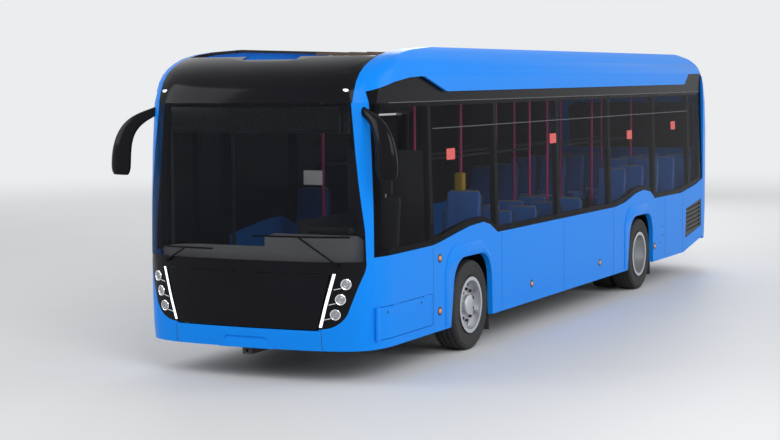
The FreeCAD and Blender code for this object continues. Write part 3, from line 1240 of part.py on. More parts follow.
def cab_partition():
    """A wall behind the driver, with a low door along the gangway."""
    foot, y0, y1 = CAB_FLOOR_Z + SEAT_GAP, back(PARTITION_Y), back(PARTITION_Y + PARTITION_THICKNESS)
    wall = box(CAB_INNER_X, INNER_WALL_X - BEYOND, y0, y1, foot, PARTITION_HEAD_Z)
    door = box(CAB_INNER_X, CAB_INNER_X + PARTITION_THICKNESS, back(CAB_FRONT_Y) + 140, y1, foot, CAB_DOOR_HEAD_Z)
    write("cab_partition", fuse([wall, door]))


# Saloon


def seat(x, y, foot_z, cushion_z):
    """A seat with its back at this y, on a leg from its floor or wheel box."""
    half = SEAT_WIDTH / 2
    leg = box(x - 30, x + 30, y - 300, y - 180, foot_z + SEAT_GAP, cushion_z + 30)
    cushion = plate_x([(y - SEAT_DEPTH, cushion_z), (y, cushion_z), (y, cushion_z + 60),
                       (y - SEAT_DEPTH, cushion_z + 75)], x - half, x + half)
    rest = plate_x([(y - 60, cushion_z + 40), (y, cushion_z + 40), (y + 50, cushion_z + SEAT_BACK_HEIGHT),
                    (y + 15, cushion_z + SEAT_BACK_HEIGHT)], x - half, x + half)
    return fuse([leg, cushion, rest])


def rows(first, last):
    """The backs of the rows of seats that fit between two places along the bus."""
    return [first + i * SEAT_PITCH for i in range(int((last - first) / SEAT_PITCH) + 1)]


def passenger_seats():
    seats = []
    for y in rows(FRONT_AXLE_Y + FIRST_ROW_BEHIND_AXLE, STEP_Y - STEP_DEPTH - SEAT_DEPTH):
        seats += [seat(x, y, FLOOR_Z, FLOOR_Z + SEAT_HEIGHT) for x in SEAT_XS]
    for y in rows(REAR_AXLE_Y + REAR_ROW_BEHIND_AXLE, ahead(LAST_ROW_TO_TAIL)):
        row = [seat(x, y, REAR_FLOOR_Z, REAR_FLOOR_Z + SEAT_HEIGHT) for x in SEAT_XS]
        seats += row + [mirrored(s) for s in row]
    box_rows = [FRONT_AXLE_Y + BOX_SEAT_BEHIND_AXLE, REAR_AXLE_Y + BOX_SEAT_BEHIND_AXLE,
                REAR_AXLE_Y + BOX_SEAT_BEHIND_AXLE - SEAT_PITCH]
    for y in box_rows:
        seats += both_sides(seat(SEAT_XS[-1], y, WHEEL_BOX_TOP_Z, WHEEL_BOX_TOP_Z + BOX_SEAT_HEIGHT))
    write("passenger_seats", seats)


def rail_run(pole_ys, floor_z):
    """Upright poles from floor to ceiling, and the rails between them at hand height."""
    low, high = floor_z + SEAT_GAP, CEILING_Z - SEAT_GAP
    reach = RAIL_RADIUS * math.cos(math.pi / RAIL_SIDES) + SEAT_GAP
    tubes = [rod(RAIL_RADIUS, (RAIL_X, y, low), (RAIL_X, y, high), RAIL_SIDES) for y in pole_ys]
    tubes += [rod(RAIL_RADIUS, (RAIL_X, y0 + reach, HAND_RAIL_Z), (RAIL_X, y1 - reach, HAND_RAIL_Z), RAIL_SIDES)
              for y0, y1 in zip(pole_ys, pole_ys[1:])]
    return [solid for tube in tubes for solid in both_sides(tube)]


def handrails():
    low_ys = [back(y) for y in LOW_POLE_YS] + [STEP_Y - POLE_TO_STEP]
    high_ys = [REAR_AXLE_Y + y for y in HIGH_POLE_YS] + [ahead(LAST_POLE_TO_TAIL)]
    write("handrails", rail_run(low_ys, FLOOR_Z) + rail_run(high_ys, REAR_FLOOR_Z))


# Fittings outside


def mirror():
    """The left mirror: a horn-shaped housing, and the arm that carries it from the pillar's head."""
    housing = plate_y(MIRROR_OUTLINE, back(MIRROR_YS[0]), back(MIRROR_YS[1]))
    places = [(x, back(y), z) for x, y, z in MIRROR_ARM]
    arm = [rod(MIRROR_ARM_RADIUS, a, b, RAIL_SIDES) for a, b in zip(places, places[1:])]
    arm = fuse(arm).cut(end_block("nose", -SEAT_GAP))
    return fuse([arm, housing])


def wiper(pivot_x, pivot_z, tip_x, tip_z, blade_end_x):
    """A spindle through the cowl, an arm up the screen and a blade along it."""
    pivot_y, tip_y = nose_y(pivot_x, pivot_z), nose_y(tip_x, tip_z)
    skin = end_block("nose", 0).translated(V(0, COWL_SETBACK - SEAT_GAP, 0))
    spindle = rod(WIPER_SPINDLE_RADIUS, (pivot_x, pivot_y - WIPER_REACH_OUT, pivot_z),
                  (pivot_x, pivot_y + BEYOND, pivot_z), RAIL_SIDES).cut(skin)
    arm = rod(WIPER_ROD, (pivot_x, pivot_y - WIPER_REACH_OUT + 8, pivot_z),
              (tip_x, tip_y - WIPER_REACH_OUT, tip_z), RAIL_SIDES)
    runs = WIPER_BLADE_RUNS
    xs = [blade_end_x + (tip_x - blade_end_x) * 2 * i / runs for i in range(runs + 1)]
    places = [(x, nose_y(x, tip_z) - 20, tip_z) for x in xs]
    blade = [rod(WIPER_ROD, start, end, RAIL_SIDES) for start, end in zip(places, places[1:])]
    return fuse([spindle, arm] + blade)


# Charging arm on the roof


def pantograph_base():
    low = ROOF_CROWN_Z + SEAT_GAP
    high = low + PAN_RAIL_HEIGHT
    y0, y1 = (back(y) for y in PAN_BASE_YS)
    half, width = PAN_BASE_HALF_WIDTH, PAN_BASE_RAIL
    shapes = both_sides(box(half - width, half, y0, y1, low, high))
    shapes += [box(-half, half, y, y + width, low, high) for y in (y0, y1 - width)]
    y, z = back(PAN_PIVOT[0]), PAN_PIVOT[1]
    ear = plate_x([(y - 34, low), (y + 34, low), (y + 24, z + 22), (y - 24, z + 22)], PAN_EAR_X,
                  PAN_EAR_X + PAN_EAR_WIDTH)
    bore = cylinder(PAN_SHAFT + RUNNING_CLEARANCE, (PAN_EAR_X - 1, y, z), (PAN_EAR_X + PAN_EAR_WIDTH + 1, y, z))
    return fuse(shapes + both_sides(ear.cut(bore)))


def lower_arm():
    y0, z0 = back(PAN_PIVOT[0]), PAN_PIVOT[1]
    y1, z1 = back(PAN_ELBOW[0]), PAN_ELBOW[1]
    side = plate_x([(y0 + 22, z0 - 18), (y0 + 22, z0 + 18), (y1 - 20, z1 + 16), (y1 - 20, z1 - 16)], PAN_SIDE_X,
                   PAN_SIDE_X + PAN_SIDE_WIDTH)
    outer = PAN_EAR_X + PAN_EAR_WIDTH
    shaft = cylinder(PAN_SHAFT, (-outer, y0, z0), (outer, y0, z0))
    elbow = cylinder(PAN_SHAFT, (-PAN_SIDE_X - 1, y1, z1), (PAN_SIDE_X + 1, y1, z1))
    return fuse(both_sides(side) + [shaft, elbow])


def upper_arm():
    y0, z0 = back(PAN_ELBOW[0]), PAN_ELBOW[1]
    y1, z1 = back(PAN_TOP[0]), PAN_TOP[1]
    start, length, radius = PAN_SLEEVE
    sleeve = cylinder(radius, (start, y0, z0), (start + length, y0, z0))
    tube = rod(PAN_TUBE, (PAN_UPPER_X, y0, z0), (PAN_UPPER_X, y1, z1), RAIL_SIDES)
    reach = PAN_UPPER_X + PAN_TUBE
    tie = cylinder(PAN_TIE, (-reach, y1, z1), (reach, y1, z1))
    arm = fuse(both_sides(sleeve) + both_sides(tube) + [tie])
    return arm.cut(cylinder(PAN_SHAFT + RUNNING_CLEARANCE, (-PAN_EAR_X, y0, z0), (PAN_EAR_X, y0, z0)))


def pantograph_head():
    """Contact bars along the bus, on a cross bar that turns on the upper arm's tie."""
    y, z = back(PAN_TOP[0]), PAN_TOP[1]
    half, radius = PAN_HEAD_SLEEVE
    sleeve = cylinder(radius, (-half, y, z), (half, y, z))
    post = box(-half, half, y - 15, y + 15, z + 15, z + 50)
    cross = box(-PAN_HEAD_HALF_WIDTH, PAN_HEAD_HALF_WIDTH, y - 25, y + 25, z + 40, z + 60)
    front, rear = CONTACT_BAR_REACH
    bars = [box(x, x + CONTACT_BAR_WIDTH, y - front, y + rear, z + 60, z + 90) for x in CONTACT_BAR_XS]
    head = fuse([sleeve, post, cross] + bars)
    return head.cut(cylinder(PAN_TIE + RUNNING_CLEARANCE, (-half - 1, y, z), (half + 1, y, z)))


def main():
    os.makedirs("parts", exist_ok=True)
    front_end()
    lower_sides()
    window_band()
    roof_and_fairings()
    rear_end()
    floor()
    wheel_boxes()
    chassis_frame()
    axles()
    wheels()
    doors()
    dashboard()
    write("steering_wheel", steering_wheel())
    driver_seat()
    cab_partition()
    passenger_seats()
    handrails()
    write("mirrors", both_sides(mirror()))
    write("wipers", [wiper(*LEFT_WIPER), wiper(*RIGHT_WIPER)])
    write("pantograph_base", pantograph_base())
    write("pantograph_lower_arm", lower_arm())
    write("pantograph_upper_arm", upper_arm())
    write("pantograph_head", pantograph_head())


main()
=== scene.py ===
# %% [markdown]
# A city bus, dressed for its picture
#
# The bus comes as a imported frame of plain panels, wheels, seats and rails, all at their real size. This
# lesson gives every surface its finish and adds what is too fine for the frame: tread, wheel nuts, lamp
# lenses, seat padding, trims and seals. The frame is loaded first, so that every later step can measure it.

# %% Load the frame
import json
import math

import bpy
from mathutils import Euler, Matrix, Vector
from mathutils.bvhtree import BVHTree

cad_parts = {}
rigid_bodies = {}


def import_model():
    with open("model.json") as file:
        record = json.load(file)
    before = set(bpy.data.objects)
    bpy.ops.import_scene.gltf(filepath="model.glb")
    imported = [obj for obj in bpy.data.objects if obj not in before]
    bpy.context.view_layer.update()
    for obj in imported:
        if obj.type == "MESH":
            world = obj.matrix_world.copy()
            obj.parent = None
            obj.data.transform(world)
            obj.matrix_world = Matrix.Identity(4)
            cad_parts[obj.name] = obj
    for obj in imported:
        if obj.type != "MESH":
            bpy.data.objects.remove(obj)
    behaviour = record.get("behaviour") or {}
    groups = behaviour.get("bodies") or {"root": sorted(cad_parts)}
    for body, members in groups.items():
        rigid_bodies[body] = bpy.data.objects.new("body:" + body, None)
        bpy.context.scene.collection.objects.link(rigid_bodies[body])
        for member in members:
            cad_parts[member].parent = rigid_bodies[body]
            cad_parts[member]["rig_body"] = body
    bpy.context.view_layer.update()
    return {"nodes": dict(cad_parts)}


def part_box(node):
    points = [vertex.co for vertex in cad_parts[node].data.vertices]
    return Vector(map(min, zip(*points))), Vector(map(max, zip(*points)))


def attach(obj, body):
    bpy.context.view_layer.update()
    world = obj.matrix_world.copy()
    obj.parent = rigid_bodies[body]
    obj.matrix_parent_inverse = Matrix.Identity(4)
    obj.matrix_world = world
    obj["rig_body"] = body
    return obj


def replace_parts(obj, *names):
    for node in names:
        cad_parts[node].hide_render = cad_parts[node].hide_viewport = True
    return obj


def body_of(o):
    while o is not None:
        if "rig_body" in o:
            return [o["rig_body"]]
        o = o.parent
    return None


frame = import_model()
nodes = frame["nodes"]

# %% [markdown]
# The camera
#
# The picture was taken from in front of the bus's left corner, a little above the top of its side glass, with
# a long lens from some sixteen metres off. The place, the turn and the lens below repeat that view. The lens
# is given for a sensor 36 mm wide, and the whole picture is 780 by 440.

# %% Place the camera
CAMERA_PLACE = Vector((8.490, -20.430, 2.872))
CAMERA_YAW = math.radians(25.655)
CAMERA_PITCH = math.radians(-4.586)
CAMERA_ROLL = math.radians(-0.424)
LENS_MM, SENSOR_MM = 81.26, 36.0
SIGHT_LIMIT = 400.0

bpy.ops.object.camera_add()
camera = bpy.context.object
camera.name = "camera"
turn = Euler((math.pi / 2 + CAMERA_PITCH, 0, CAMERA_YAW)).to_matrix().to_4x4()
camera.matrix_world = Matrix.Translation(CAMERA_PLACE) @ turn @ Matrix.Rotation(CAMERA_ROLL, 4, "Z")
camera.data.sensor_width = SENSOR_MM
camera.data.lens = LENS_MM
camera.data.clip_end = SIGHT_LIMIT
bpy.context.scene.camera = camera
print("camera", [round(v, 2) for v in camera.location])

# %% [markdown]
# Floor and light
#
# A studio for a vehicle is a pale floor under a few very large soft lamps. The lamps stay soft because they
# are several metres wide, so the paint shows long gentle highlights instead of spots. Some way out the floor
# fades into the tone of the surroundings, so that no horizon shows. The surroundings are a plain pale tone:
# what the camera, polished metal and glass see of them is near white, while the share that falls on the bus
# is lower, so that a colour renders about as it is written.

# %% Lay the floor
FLOOR_HALF = 150.0
FLOOR_TINTS = ((0.76, 0.765, 0.77, 1), (0.80, 0.80, 0.80, 1))
FLOOR_ROUGHNESS, FLOOR_PATCHES = 0.55, 0.6
FADE_START, FADE_END = 9.0, 34.0
FAR_TONE = (0.834, 0.847, 0.86, 1)


def new_tree(name):
    """A new material with an empty node tree, and its output."""
    material = bpy.data.materials.new(name)
    material.use_nodes = True
    tree = material.node_tree
    tree.nodes.clear()
    return material, tree, tree.nodes.new("ShaderNodeOutputMaterial")


bpy.ops.mesh.primitive_plane_add(size=2 * FLOOR_HALF, location=(0, 0, 0))
floor = bpy.context.object
floor.name = "studio_floor"
floor_material, tree, output = new_tree("studio_floor")
shader = tree.nodes.new("ShaderNodeBsdfPrincipled")
shader.inputs["Roughness"].default_value = FLOOR_ROUGHNESS
place = tree.nodes.new("ShaderNodeTexCoord")
noise = tree.nodes.new("ShaderNodeTexNoise")
noise.inputs["Scale"].default_value = FLOOR_PATCHES
tint = tree.nodes.new("ShaderNodeMix")
tint.data_type = "RGBA"
tint.inputs["A"].default_value = FLOOR_TINTS[0]
tint.inputs["B"].default_value = FLOOR_TINTS[1]
tree.links.new(place.outputs["Object"], noise.inputs["Vector"])
tree.links.new(noise.outputs["Fac"], tint.inputs["Factor"])
tree.links.new(tint.outputs["Result"], shader.inputs["Base Color"])
far = tree.nodes.new("ShaderNodeVectorMath")
far.operation = "LENGTH"
tree.links.new(place.outputs["Object"], far.inputs[0])
fade = tree.nodes.new("ShaderNodeMapRange")
fade.interpolation_type = "SMOOTHSTEP"
fade.inputs["From Min"].default_value = FADE_START
fade.inputs["From Max"].default_value = FADE_END
tree.links.new(far.outputs["Value"], fade.inputs["Value"])
haze = tree.nodes.new("ShaderNodeEmission")
haze.inputs["Color"].default_value = FAR_TONE
blend = tree.nodes.new("ShaderNodeMixShader")
tree.links.new(fade.outputs["Result"], blend.inputs["Fac"])
tree.links.new(shader.outputs["BSDF"], blend.inputs[1])
tree.links.new(haze.outputs["Emission"], blend.inputs[2])
tree.links.new(blend.outputs["Shader"], output.inputs["Surface"])
floor.data.materials.append(floor_material)

# %% Light the studio
SKY_TONE = (0.97, 0.985, 1.0, 1)
SKY_SEEN, SKY_LIGHT = 0.86, 0.50
LAMP_SIZE = 9.0
LAMPS = (("key", (11.0, -15.0, 10.0), 1300.0), ("fill", (-12.0, -12.0, 9.0), 650.0),
         ("side", (15.0, 4.0, 8.0), 700.0), ("back", (-5.0, 17.0, 9.0), 700.0))
AIM = Vector((0.0, -1.0, 1.4))

world = bpy.data.worlds.new("studio")
bpy.context.scene.world = world
world.use_nodes = True
tree = world.node_tree
tree.nodes.clear()
output = tree.nodes.new("ShaderNodeOutputWorld")
rays = tree.nodes.new("ShaderNodeLightPath")
seen = rays.outputs["Is Camera Ray"]
for kind in ("Is Glossy Ray", "Is Transmission Ray"):
    either = tree.nodes.new("ShaderNodeMath")
    either.operation = "MAXIMUM"
    tree.links.new(seen, either.inputs[0])
    tree.links.new(rays.outputs[kind], either.inputs[1])
    seen = either.outputs[0]
mix = tree.nodes.new("ShaderNodeMixShader")
for socket, strength in ((1, SKY_LIGHT), (2, SKY_SEEN)):
    sky = tree.nodes.new("ShaderNodeBackground")
    sky.inputs["Color"].default_value = SKY_TONE
    sky.inputs["Strength"].default_value = strength
    tree.links.new(sky.outputs[0], mix.inputs[socket])
tree.links.new(seen, mix.inputs["Fac"])
tree.links.new(mix.outputs[0], output.inputs["Surface"])

for name, place, power in LAMPS:
    bpy.ops.object.light_add(type="AREA", location=place)
    lamp = bpy.context.object
    lamp.name = "lamp_" + name
    lamp.data.size = LAMP_SIZE
    lamp.data.energy = power
    lamp.rotation_euler = (AIM - Vector(place)).to_track_quat("-Z", "Y").to_euler()
bpy.context.scene.view_settings.view_transform = "Standard"
print("lamps", len(LAMPS))

# %% [markdown]
# Finishes
#
# Almost every finish on a bus is a paint, a moulded plastic, a rubber, a cloth, a metal or a glass. Each is
# one principled shader whose colour and roughness wander a little, as they do on a real surface: paint has a
# faint ripple, plastic a fine grain, rubber is dusty in patches. The copper strips on the charging arm's
# head are a dark copper. One helper makes them all. It is told the two tints that the surface wanders
# between, the span of its roughness, and the depth and size of its grain. A value that is the same all over
# goes straight to the shader's own socket.

# %% Make a finish
PATCH_DETAIL, GRAIN_DETAIL, GRAIN_HEIGHT = 5.0, 3.0, 0.001
FINISHES = {}


def link_range(tree, source, low, high, socket):
    """Sends a 0 to 1 value on as a value between low and high."""
    span = tree.nodes.new("ShaderNodeMapRange")
    span.inputs["To Min"].default_value = low
    span.inputs["To Max"].default_value = high
    tree.links.new(source, span.inputs["Value"])
    tree.links.new(span.outputs["Result"], socket)


def finish(name, tints, rough, grain=0.0, grain_scale=200.0, patch_scale=1.5, **fixed):
    """A finish that wanders between two tints and two roughnesses, with a bump of the given grain."""
    material, tree, output = new_tree(name)
    shader = tree.nodes.new("ShaderNodeBsdfPrincipled")
    place = tree.nodes.new("ShaderNodeTexCoord")
    patches = tree.nodes.new("ShaderNodeTexNoise")
    patches.inputs["Scale"].default_value = patch_scale
    patches.inputs["Detail"].default_value = PATCH_DETAIL
    tree.links.new(place.outputs["Object"], patches.inputs["Vector"])
    tint = tree.nodes.new("ShaderNodeMix")
    tint.data_type = "RGBA"
    tint.inputs["A"].default_value = (*tints[0], 1)
    tint.inputs["B"].default_value = (*tints[1], 1)
    tree.links.new(patches.outputs["Fac"], tint.inputs["Factor"])
    tree.links.new(tint.outputs["Result"], shader.inputs["Base Color"])
    link_range(tree, patches.outputs["Fac"], rough[0], rough[1], shader.inputs["Roughness"])
    if grain:
        fine = tree.nodes.new("ShaderNodeTexNoise")
        fine.inputs["Scale"].default_value = grain_scale
        fine.inputs["Detail"].default_value = GRAIN_DETAIL
        bump = tree.nodes.new("ShaderNodeBump")
        bump.inputs["Strength"].default_value = grain
        bump.inputs["Distance"].default_value = GRAIN_HEIGHT
        tree.links.new(place.outputs["Object"], fine.inputs["Vector"])
        tree.links.new(fine.outputs["Fac"], bump.inputs["Height"])
        tree.links.new(bump.outputs["Normal"], shader.inputs["Normal"])
    for socket, value in fixed.items():
        shader.inputs[socket.replace("_", " ")].default_value = value
    tree.links.new(shader.outputs["BSDF"], output.inputs["Surface"])
    FINISHES[name] = material


finish("sky_blue_paint", ((0.004, 0.235, 0.84), (0.006, 0.250, 0.88)), (0.26, 0.32), 0.02, 300,
       Specular_IOR_Level=0.07, Coat_Weight=0.02, Coat_Roughness=0.05)
finish("gloss_black", ((0.004, 0.004, 0.006), (0.007, 0.007, 0.010)), (0.10, 0.18),
       Specular_IOR_Level=0.09, Coat_Weight=0.03, Coat_Roughness=0.04)
finish("band_black", ((0.004, 0.004, 0.006), (0.007, 0.007, 0.009)), (0.16, 0.24), Specular_IOR_Level=0.05)
finish("seal_rubber", ((0.012, 0.012, 0.012), (0.025, 0.024, 0.023)), (0.55, 0.75), 0.3, 500)
finish("tyre_rubber", ((0.007, 0.007, 0.007), (0.018, 0.017, 0.016)), (0.65, 0.85), 0.5, 260, 6.0)
finish("rim_silver", ((0.52, 0.53, 0.55), (0.62, 0.63, 0.65)), (0.28, 0.42), 0.15, 400, 8.0, Metallic=0.85)
finish("chrome", ((0.80, 0.81, 0.83), (0.86, 0.87, 0.88)), (0.06, 0.14), Metallic=1.0)
finish("chassis_paint", ((0.007, 0.007, 0.008), (0.018, 0.017, 0.016)), (0.5, 0.7), 0.4, 120, 5.0)
finish("cast_iron", ((0.030, 0.030, 0.030), (0.060, 0.056, 0.052)), (0.55, 0.75), 0.8, 180, 6.0, Metallic=0.3)
finish("floor_vinyl", ((0.060, 0.062, 0.066), (0.090, 0.092, 0.098)), (0.45, 0.6), 0.3, 350, 30.0)
finish("grey_moulding", ((0.030, 0.031, 0.034), (0.045, 0.046, 0.050)), (0.45, 0.6), 0.35, 420)
finish("dash_plastic", ((0.42, 0.425, 0.44), (0.50, 0.505, 0.52)), (0.5, 0.65), 0.45, 380)
finish("dark_plastic", ((0.012, 0.012, 0.013), (0.022, 0.022, 0.023)), (0.4, 0.55), 0.35, 420)
finish("roof_white", ((0.60, 0.61, 0.62), (0.70, 0.70, 0.70)), (0.35, 0.5), 0.1, 200)
finish("pack_grey", ((0.42, 0.44, 0.46), (0.50, 0.51, 0.53)), (0.4, 0.55), 0.2, 250)
finish("rail_magenta", ((0.90, 0.012, 0.260), (0.95, 0.020, 0.300)), (0.25, 0.35), Coat_Weight=0.4)
finish("seat_cloth", ((0.030, 0.170, 0.60), (0.045, 0.210, 0.70)), (0.8, 0.95), 0.8, 700, 20.0,
       Sheen_Weight=0.3)
finish("driver_cloth", ((0.012, 0.014, 0.020), (0.026, 0.028, 0.036)), (0.8, 0.95), 0.8, 700, 20.0,
       Sheen_Weight=0.3)
finish("copper_strip", ((0.10, 0.065, 0.045), (0.15, 0.10, 0.075)), (0.35, 0.5), 0.2, 300, Metallic=0.6)
finish("gear_grey", ((0.050, 0.052, 0.056), (0.080, 0.082, 0.088)), (0.4, 0.55), 0.2, 250)

# %% [markdown]
# Glass
#
# Bus glass is dark. A thin pane hardly bends what is behind it, so the glass is a dark glossy surface that is
# partly see-through, and the seats stay visible in it. Through both faces of a pane, the left side lets a
# little over half of the light pass, and the windscreen somewhat less. The panes on the far side and at the
# back are painted shade: an opaque dark glass that lets none through, so that the inside seen through the
# left panes stays dark. Lamp glass is clear or red.

# %% Make the glass
finish("side_glass", ((0.004, 0.004, 0.006), (0.006, 0.006, 0.008)), (0.03, 0.06), Alpha=0.26,
       Specular_IOR_Level=0.04)
# Painted shade: opaque dark glass for the far-side, door and rear panes, so the inside seen through the bus
# stays dark.
finish("painted_shade_glass", ((0.004, 0.004, 0.005), (0.006, 0.006, 0.007)), (0.14, 0.20), Specular_IOR_Level=0.06)
finish("screen_glass", ((0.008, 0.009, 0.012), (0.012, 0.013, 0.017)), (0.03, 0.06), Alpha=0.38,
       Specular_IOR_Level=0.08)
finish("lamp_glass", ((0.70, 0.72, 0.75), (0.80, 0.82, 0.84)), (0.03, 0.08), Alpha=0.55)
finish("red_lens", ((0.40, 0.006, 0.006), (0.50, 0.012, 0.010)), (0.08, 0.15), Coat_Weight=0.6)

# %% Give each node its finish
NODE_FINISHES = {
    "sky_blue_paint": ("left_side", "right_side", "front_corners", "front_bumper", "left_fairing",
                       "right_fairing", "rear_shell", "service_flap"),
    "gloss_black": ("front_cowl", "front_hatch", "front_top_panel", "rear_lid"),
    "band_black": ("left_window_frame", "right_window_frame", "wipers"),
    "side_glass": ("side_glazing", "rear_window"),
    "screen_glass": ("windscreen",),
    "lamp_glass": ("headlamps",),
    "red_lens": ("tail_lamps",),
    "dark_plastic": ("side_grille", "mirrors", "steering_wheel"),
    "chassis_paint": ("chassis_frame", "front_axle", "left_knuckle", "right_knuckle", "wheel_boxes"),
    "cast_iron": ("rear_axle", "power_unit"),
    "floor_vinyl": ("floor",),
    "grey_moulding": ("cab_partition", "door_headers"),
    "dash_plastic": ("dashboard",),
    "driver_cloth": ("driver_seat",),
    "seat_cloth": ("passenger_seats",),
    "rail_magenta": ("handrails",),
    "roof_white": ("roof", "roof_unit"),
    "pack_grey": ("battery_packs",),
    "gear_grey": ("pantograph_base", "pantograph_lower_arm", "pantograph_upper_arm"),
    "copper_strip": ("pantograph_head",),
    "tyre_rubber": ("front_left_tyre", "front_right_tyre", "rear_left_tyres", "rear_right_tyres"),
    "rim_silver": ("front_left_wheel", "front_right_wheel", "rear_left_wheels", "rear_right_wheels"),
}
DOOR_HALVES = [(place, letter) for place in ("front", "middle") for letter in "ab"]
for half in DOOR_HALVES:
    NODE_FINISHES["gear_grey"] += ("%s_door_post_%s" % half,)
    NODE_FINISHES["band_black"] += ("%s_door_leaf_%s" % half,)


def dress(node, finish_name):
    """Puts one finish on the whole of a node or a piece."""
    node.data.materials.clear()
    node.data.materials.append(FINISHES[finish_name])


for finish_name, names in NODE_FINISHES.items():
    for name in names:
        dress(nodes[name], finish_name)
bare = sorted(set(nodes) - {name for names in NODE_FINISHES.values() for name in names})
print("finishes", len(FINISHES), "nodes without one", bare)

# %% [markdown]
# Tools for the bench
#
# Fine pieces are all begun from a primitive, shaped, and then settled: their place goes into the mesh, edges
# are rounded, and they get a finish and the body that they move with. A few short helpers keep the later
# cells about the bus instead of about selections. An operator works on all that is selected, so each helper
# first selects its own piece alone. A ray that is sent at the bus finds the place of its skin.

# %% Select, stand and settle
EDGE_ANGLE = math.radians(32)


def alone(piece):
    """Selects one piece and makes it the active one."""
    bpy.ops.object.select_all(action="DESELECT")
    piece.select_set(True)
    bpy.context.view_layer.objects.active = piece


def stand(name, data):
    """Puts a mesh or a curve into the scene as a piece, and selects it alone."""
    piece = bpy.data.objects.new(name, data)
    bpy.context.scene.collection.objects.link(piece)
    alone(piece)
    return piece


def face_outwards():
    """Turns all faces of the selected closed piece to its outside."""
    bpy.ops.object.mode_set(mode="EDIT")
    bpy.ops.mesh.select_all(action="SELECT")
    bpy.ops.mesh.normals_make_consistent(inside=False)
    bpy.ops.object.mode_set(mode="OBJECT")


def place_into_mesh():
    """Moves the selected piece's place, turn and size into its mesh."""
    bpy.ops.object.transform_apply(location=True, rotation=True, scale=True)


def settle(piece, name, finish_name, body="body", bevel=0.0, smooth=35):
    """Puts a piece's place into its mesh, rounds its edges, and gives it its name, finish and body."""
    alone(piece)
    piece.name = name
    place_into_mesh()
    if bevel:
        rounding = piece.modifiers.new("rounding", "BEVEL")
        rounding.width = bevel
        rounding.segments = 2
        rounding.angle_limit = EDGE_ANGLE
        bpy.ops.object.modifier_apply(modifier="rounding")
    bpy.ops.object.shade_smooth_by_angle(angle=math.radians(smooth))
    dress(piece, finish_name)
    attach(piece, body)
    return piece


# %% Find the skin
SIDE_NODES = ("left_side", "left_window_frame", "left_fairing", "rear_shell", "front_corners", "side_glazing")
NOSE_NODES = ("front_cowl", "front_hatch", "front_top_panel", "windscreen", "front_corners", "front_bumper")
LEFT_OUTSIDE_X, AHEAD_Y, BEHIND_Y = 3.0, -9.0, 9.0
SKINS = {}


def skin_at(names, start, towards):
    """The first place, and its normal, where a ray meets one of these nodes."""
    start, towards = Vector(start), Vector(towards).normalized()
    hits = []
    for name in names:
        if name not in SKINS:
            mesh = nodes[name].data
            corners = [vertex.co for vertex in mesh.vertices]
            SKINS[name] = BVHTree.FromPolygons(corners, [face.vertices for face in mesh.polygons])
        place, normal, _, distance = SKINS[name].ray_cast(start, towards)
        if place:
            hits.append((distance, place, normal))
    return min(hits, key=lambda hit: hit[0])[1:]


def on_left(y, z, names=SIDE_NODES):
    """The place and normal of the left side's skin."""
    return skin_at(names, (LEFT_OUTSIDE_X, y, z), (-1, 0, 0))


def on_nose(x, z, names=NOSE_NODES):
    """The place and normal of the nose's skin."""
    return skin_at(names, (x, AHEAD_Y, z), (0, 1, 0))


# %% Smooth a flat-faceted node
WELD, FLAT_ANGLE = 0.00005, math.radians(0.5)


def smooth_copy(node_name, finish_name):
    """A welded copy of a node, shaded smooth over its shallow edges, that stands for it."""
    node = nodes[node_name]
    copy = stand(node_name + "_dressed", node.data.copy())
    bpy.ops.mesh.customdata_custom_splitnormals_clear()
    bpy.ops.object.mode_set(mode="EDIT")
    bpy.ops.mesh.select_all(action="SELECT")
    bpy.ops.mesh.remove_doubles(threshold=WELD)
    bpy.ops.mesh.dissolve_limited(angle_limit=FLAT_ANGLE)
    bpy.ops.object.mode_set(mode="OBJECT")
    settle(copy, node_name + "_dressed", finish_name, body_of(node)[0], smooth=28)
    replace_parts(copy, node_name)
    return copy


def tint_faces(piece, finish_name, belongs):
    """Gives a second finish to the faces whose middle belongs to it."""
    piece.data.materials.append(FINISHES[finish_name])
    last = len(piece.data.materials) - 1
    for face in piece.data.polygons:
        if belongs(face.center):
            face.material_index = last


SMOOTH_FINISHES = ("sky_blue_paint", "gloss_black", "screen_glass", "rail_magenta", "rim_silver")
FAIRING_INNER_X = 1.062
HIGH_RAIL_Z, HIGH_RAIL_REACH = 1.960, 0.020
dressed = {name: smooth_copy(name, finish_name) for finish_name in SMOOTH_FINISHES
           for name in NODE_FINISHES[finish_name]}
dressed["wipers"] = smooth_copy("wipers", "band_black")
dressed["steering_wheel"] = smooth_copy("steering_wheel", "dark_plastic")
for name in ("left_fairing", "right_fairing"):
    tint_faces(dressed[name], "gloss_black", lambda centre: abs(centre.x) < FAIRING_INNER_X)
tint_faces(dressed["handrails"], "seal_rubber", lambda centre: abs(centre.z - HIGH_RAIL_Z) < HIGH_RAIL_REACH)

# %% [markdown]
# Blocks, rods, rounds and strips
#
# Most small fittings are one of a few simple forms with rounded edges. A block starts from a cube, a rod or
# a disc from a cylinder, a bead round a lamp from a torus and a lens from a flattened ball. A strip is a
# ribbon that is laid on the skin point by point and then given a thickness, and a plate is an outline that
# is drawn out. Each is modelled at its own place, and what both sides of the bus have is mirrored.

# %% Make blocks, rods and rounds
def block(name, low, high, finish_name, body="body", bevel=0.003):
    """A block with rounded edges between two corners."""
    bpy.ops.mesh.primitive_cube_add(size=1, location=[(a + b) / 2 for a, b in zip(low, high)])
    piece = bpy.context.object
    piece.scale = [b - a for a, b in zip(low, high)]
    return settle(piece, name, finish_name, body, bevel)


def lean_of(normal):
    """The turn that points a piece's own Z along a normal."""
    return normal.to_track_quat("Z", "Y").to_euler()


def rod(name, start, end, radius, finish_name, body="body", sides=16, bevel=0.0):
    """A round bar, or a disc, from one place to another."""
    start, end = Vector(start), Vector(end)
    bpy.ops.mesh.primitive_cylinder_add(vertices=sides, radius=radius, depth=(end - start).length,
                                        location=(start + end) / 2, rotation=lean_of(end - start))
    return settle(bpy.context.object, name, finish_name, body, bevel)


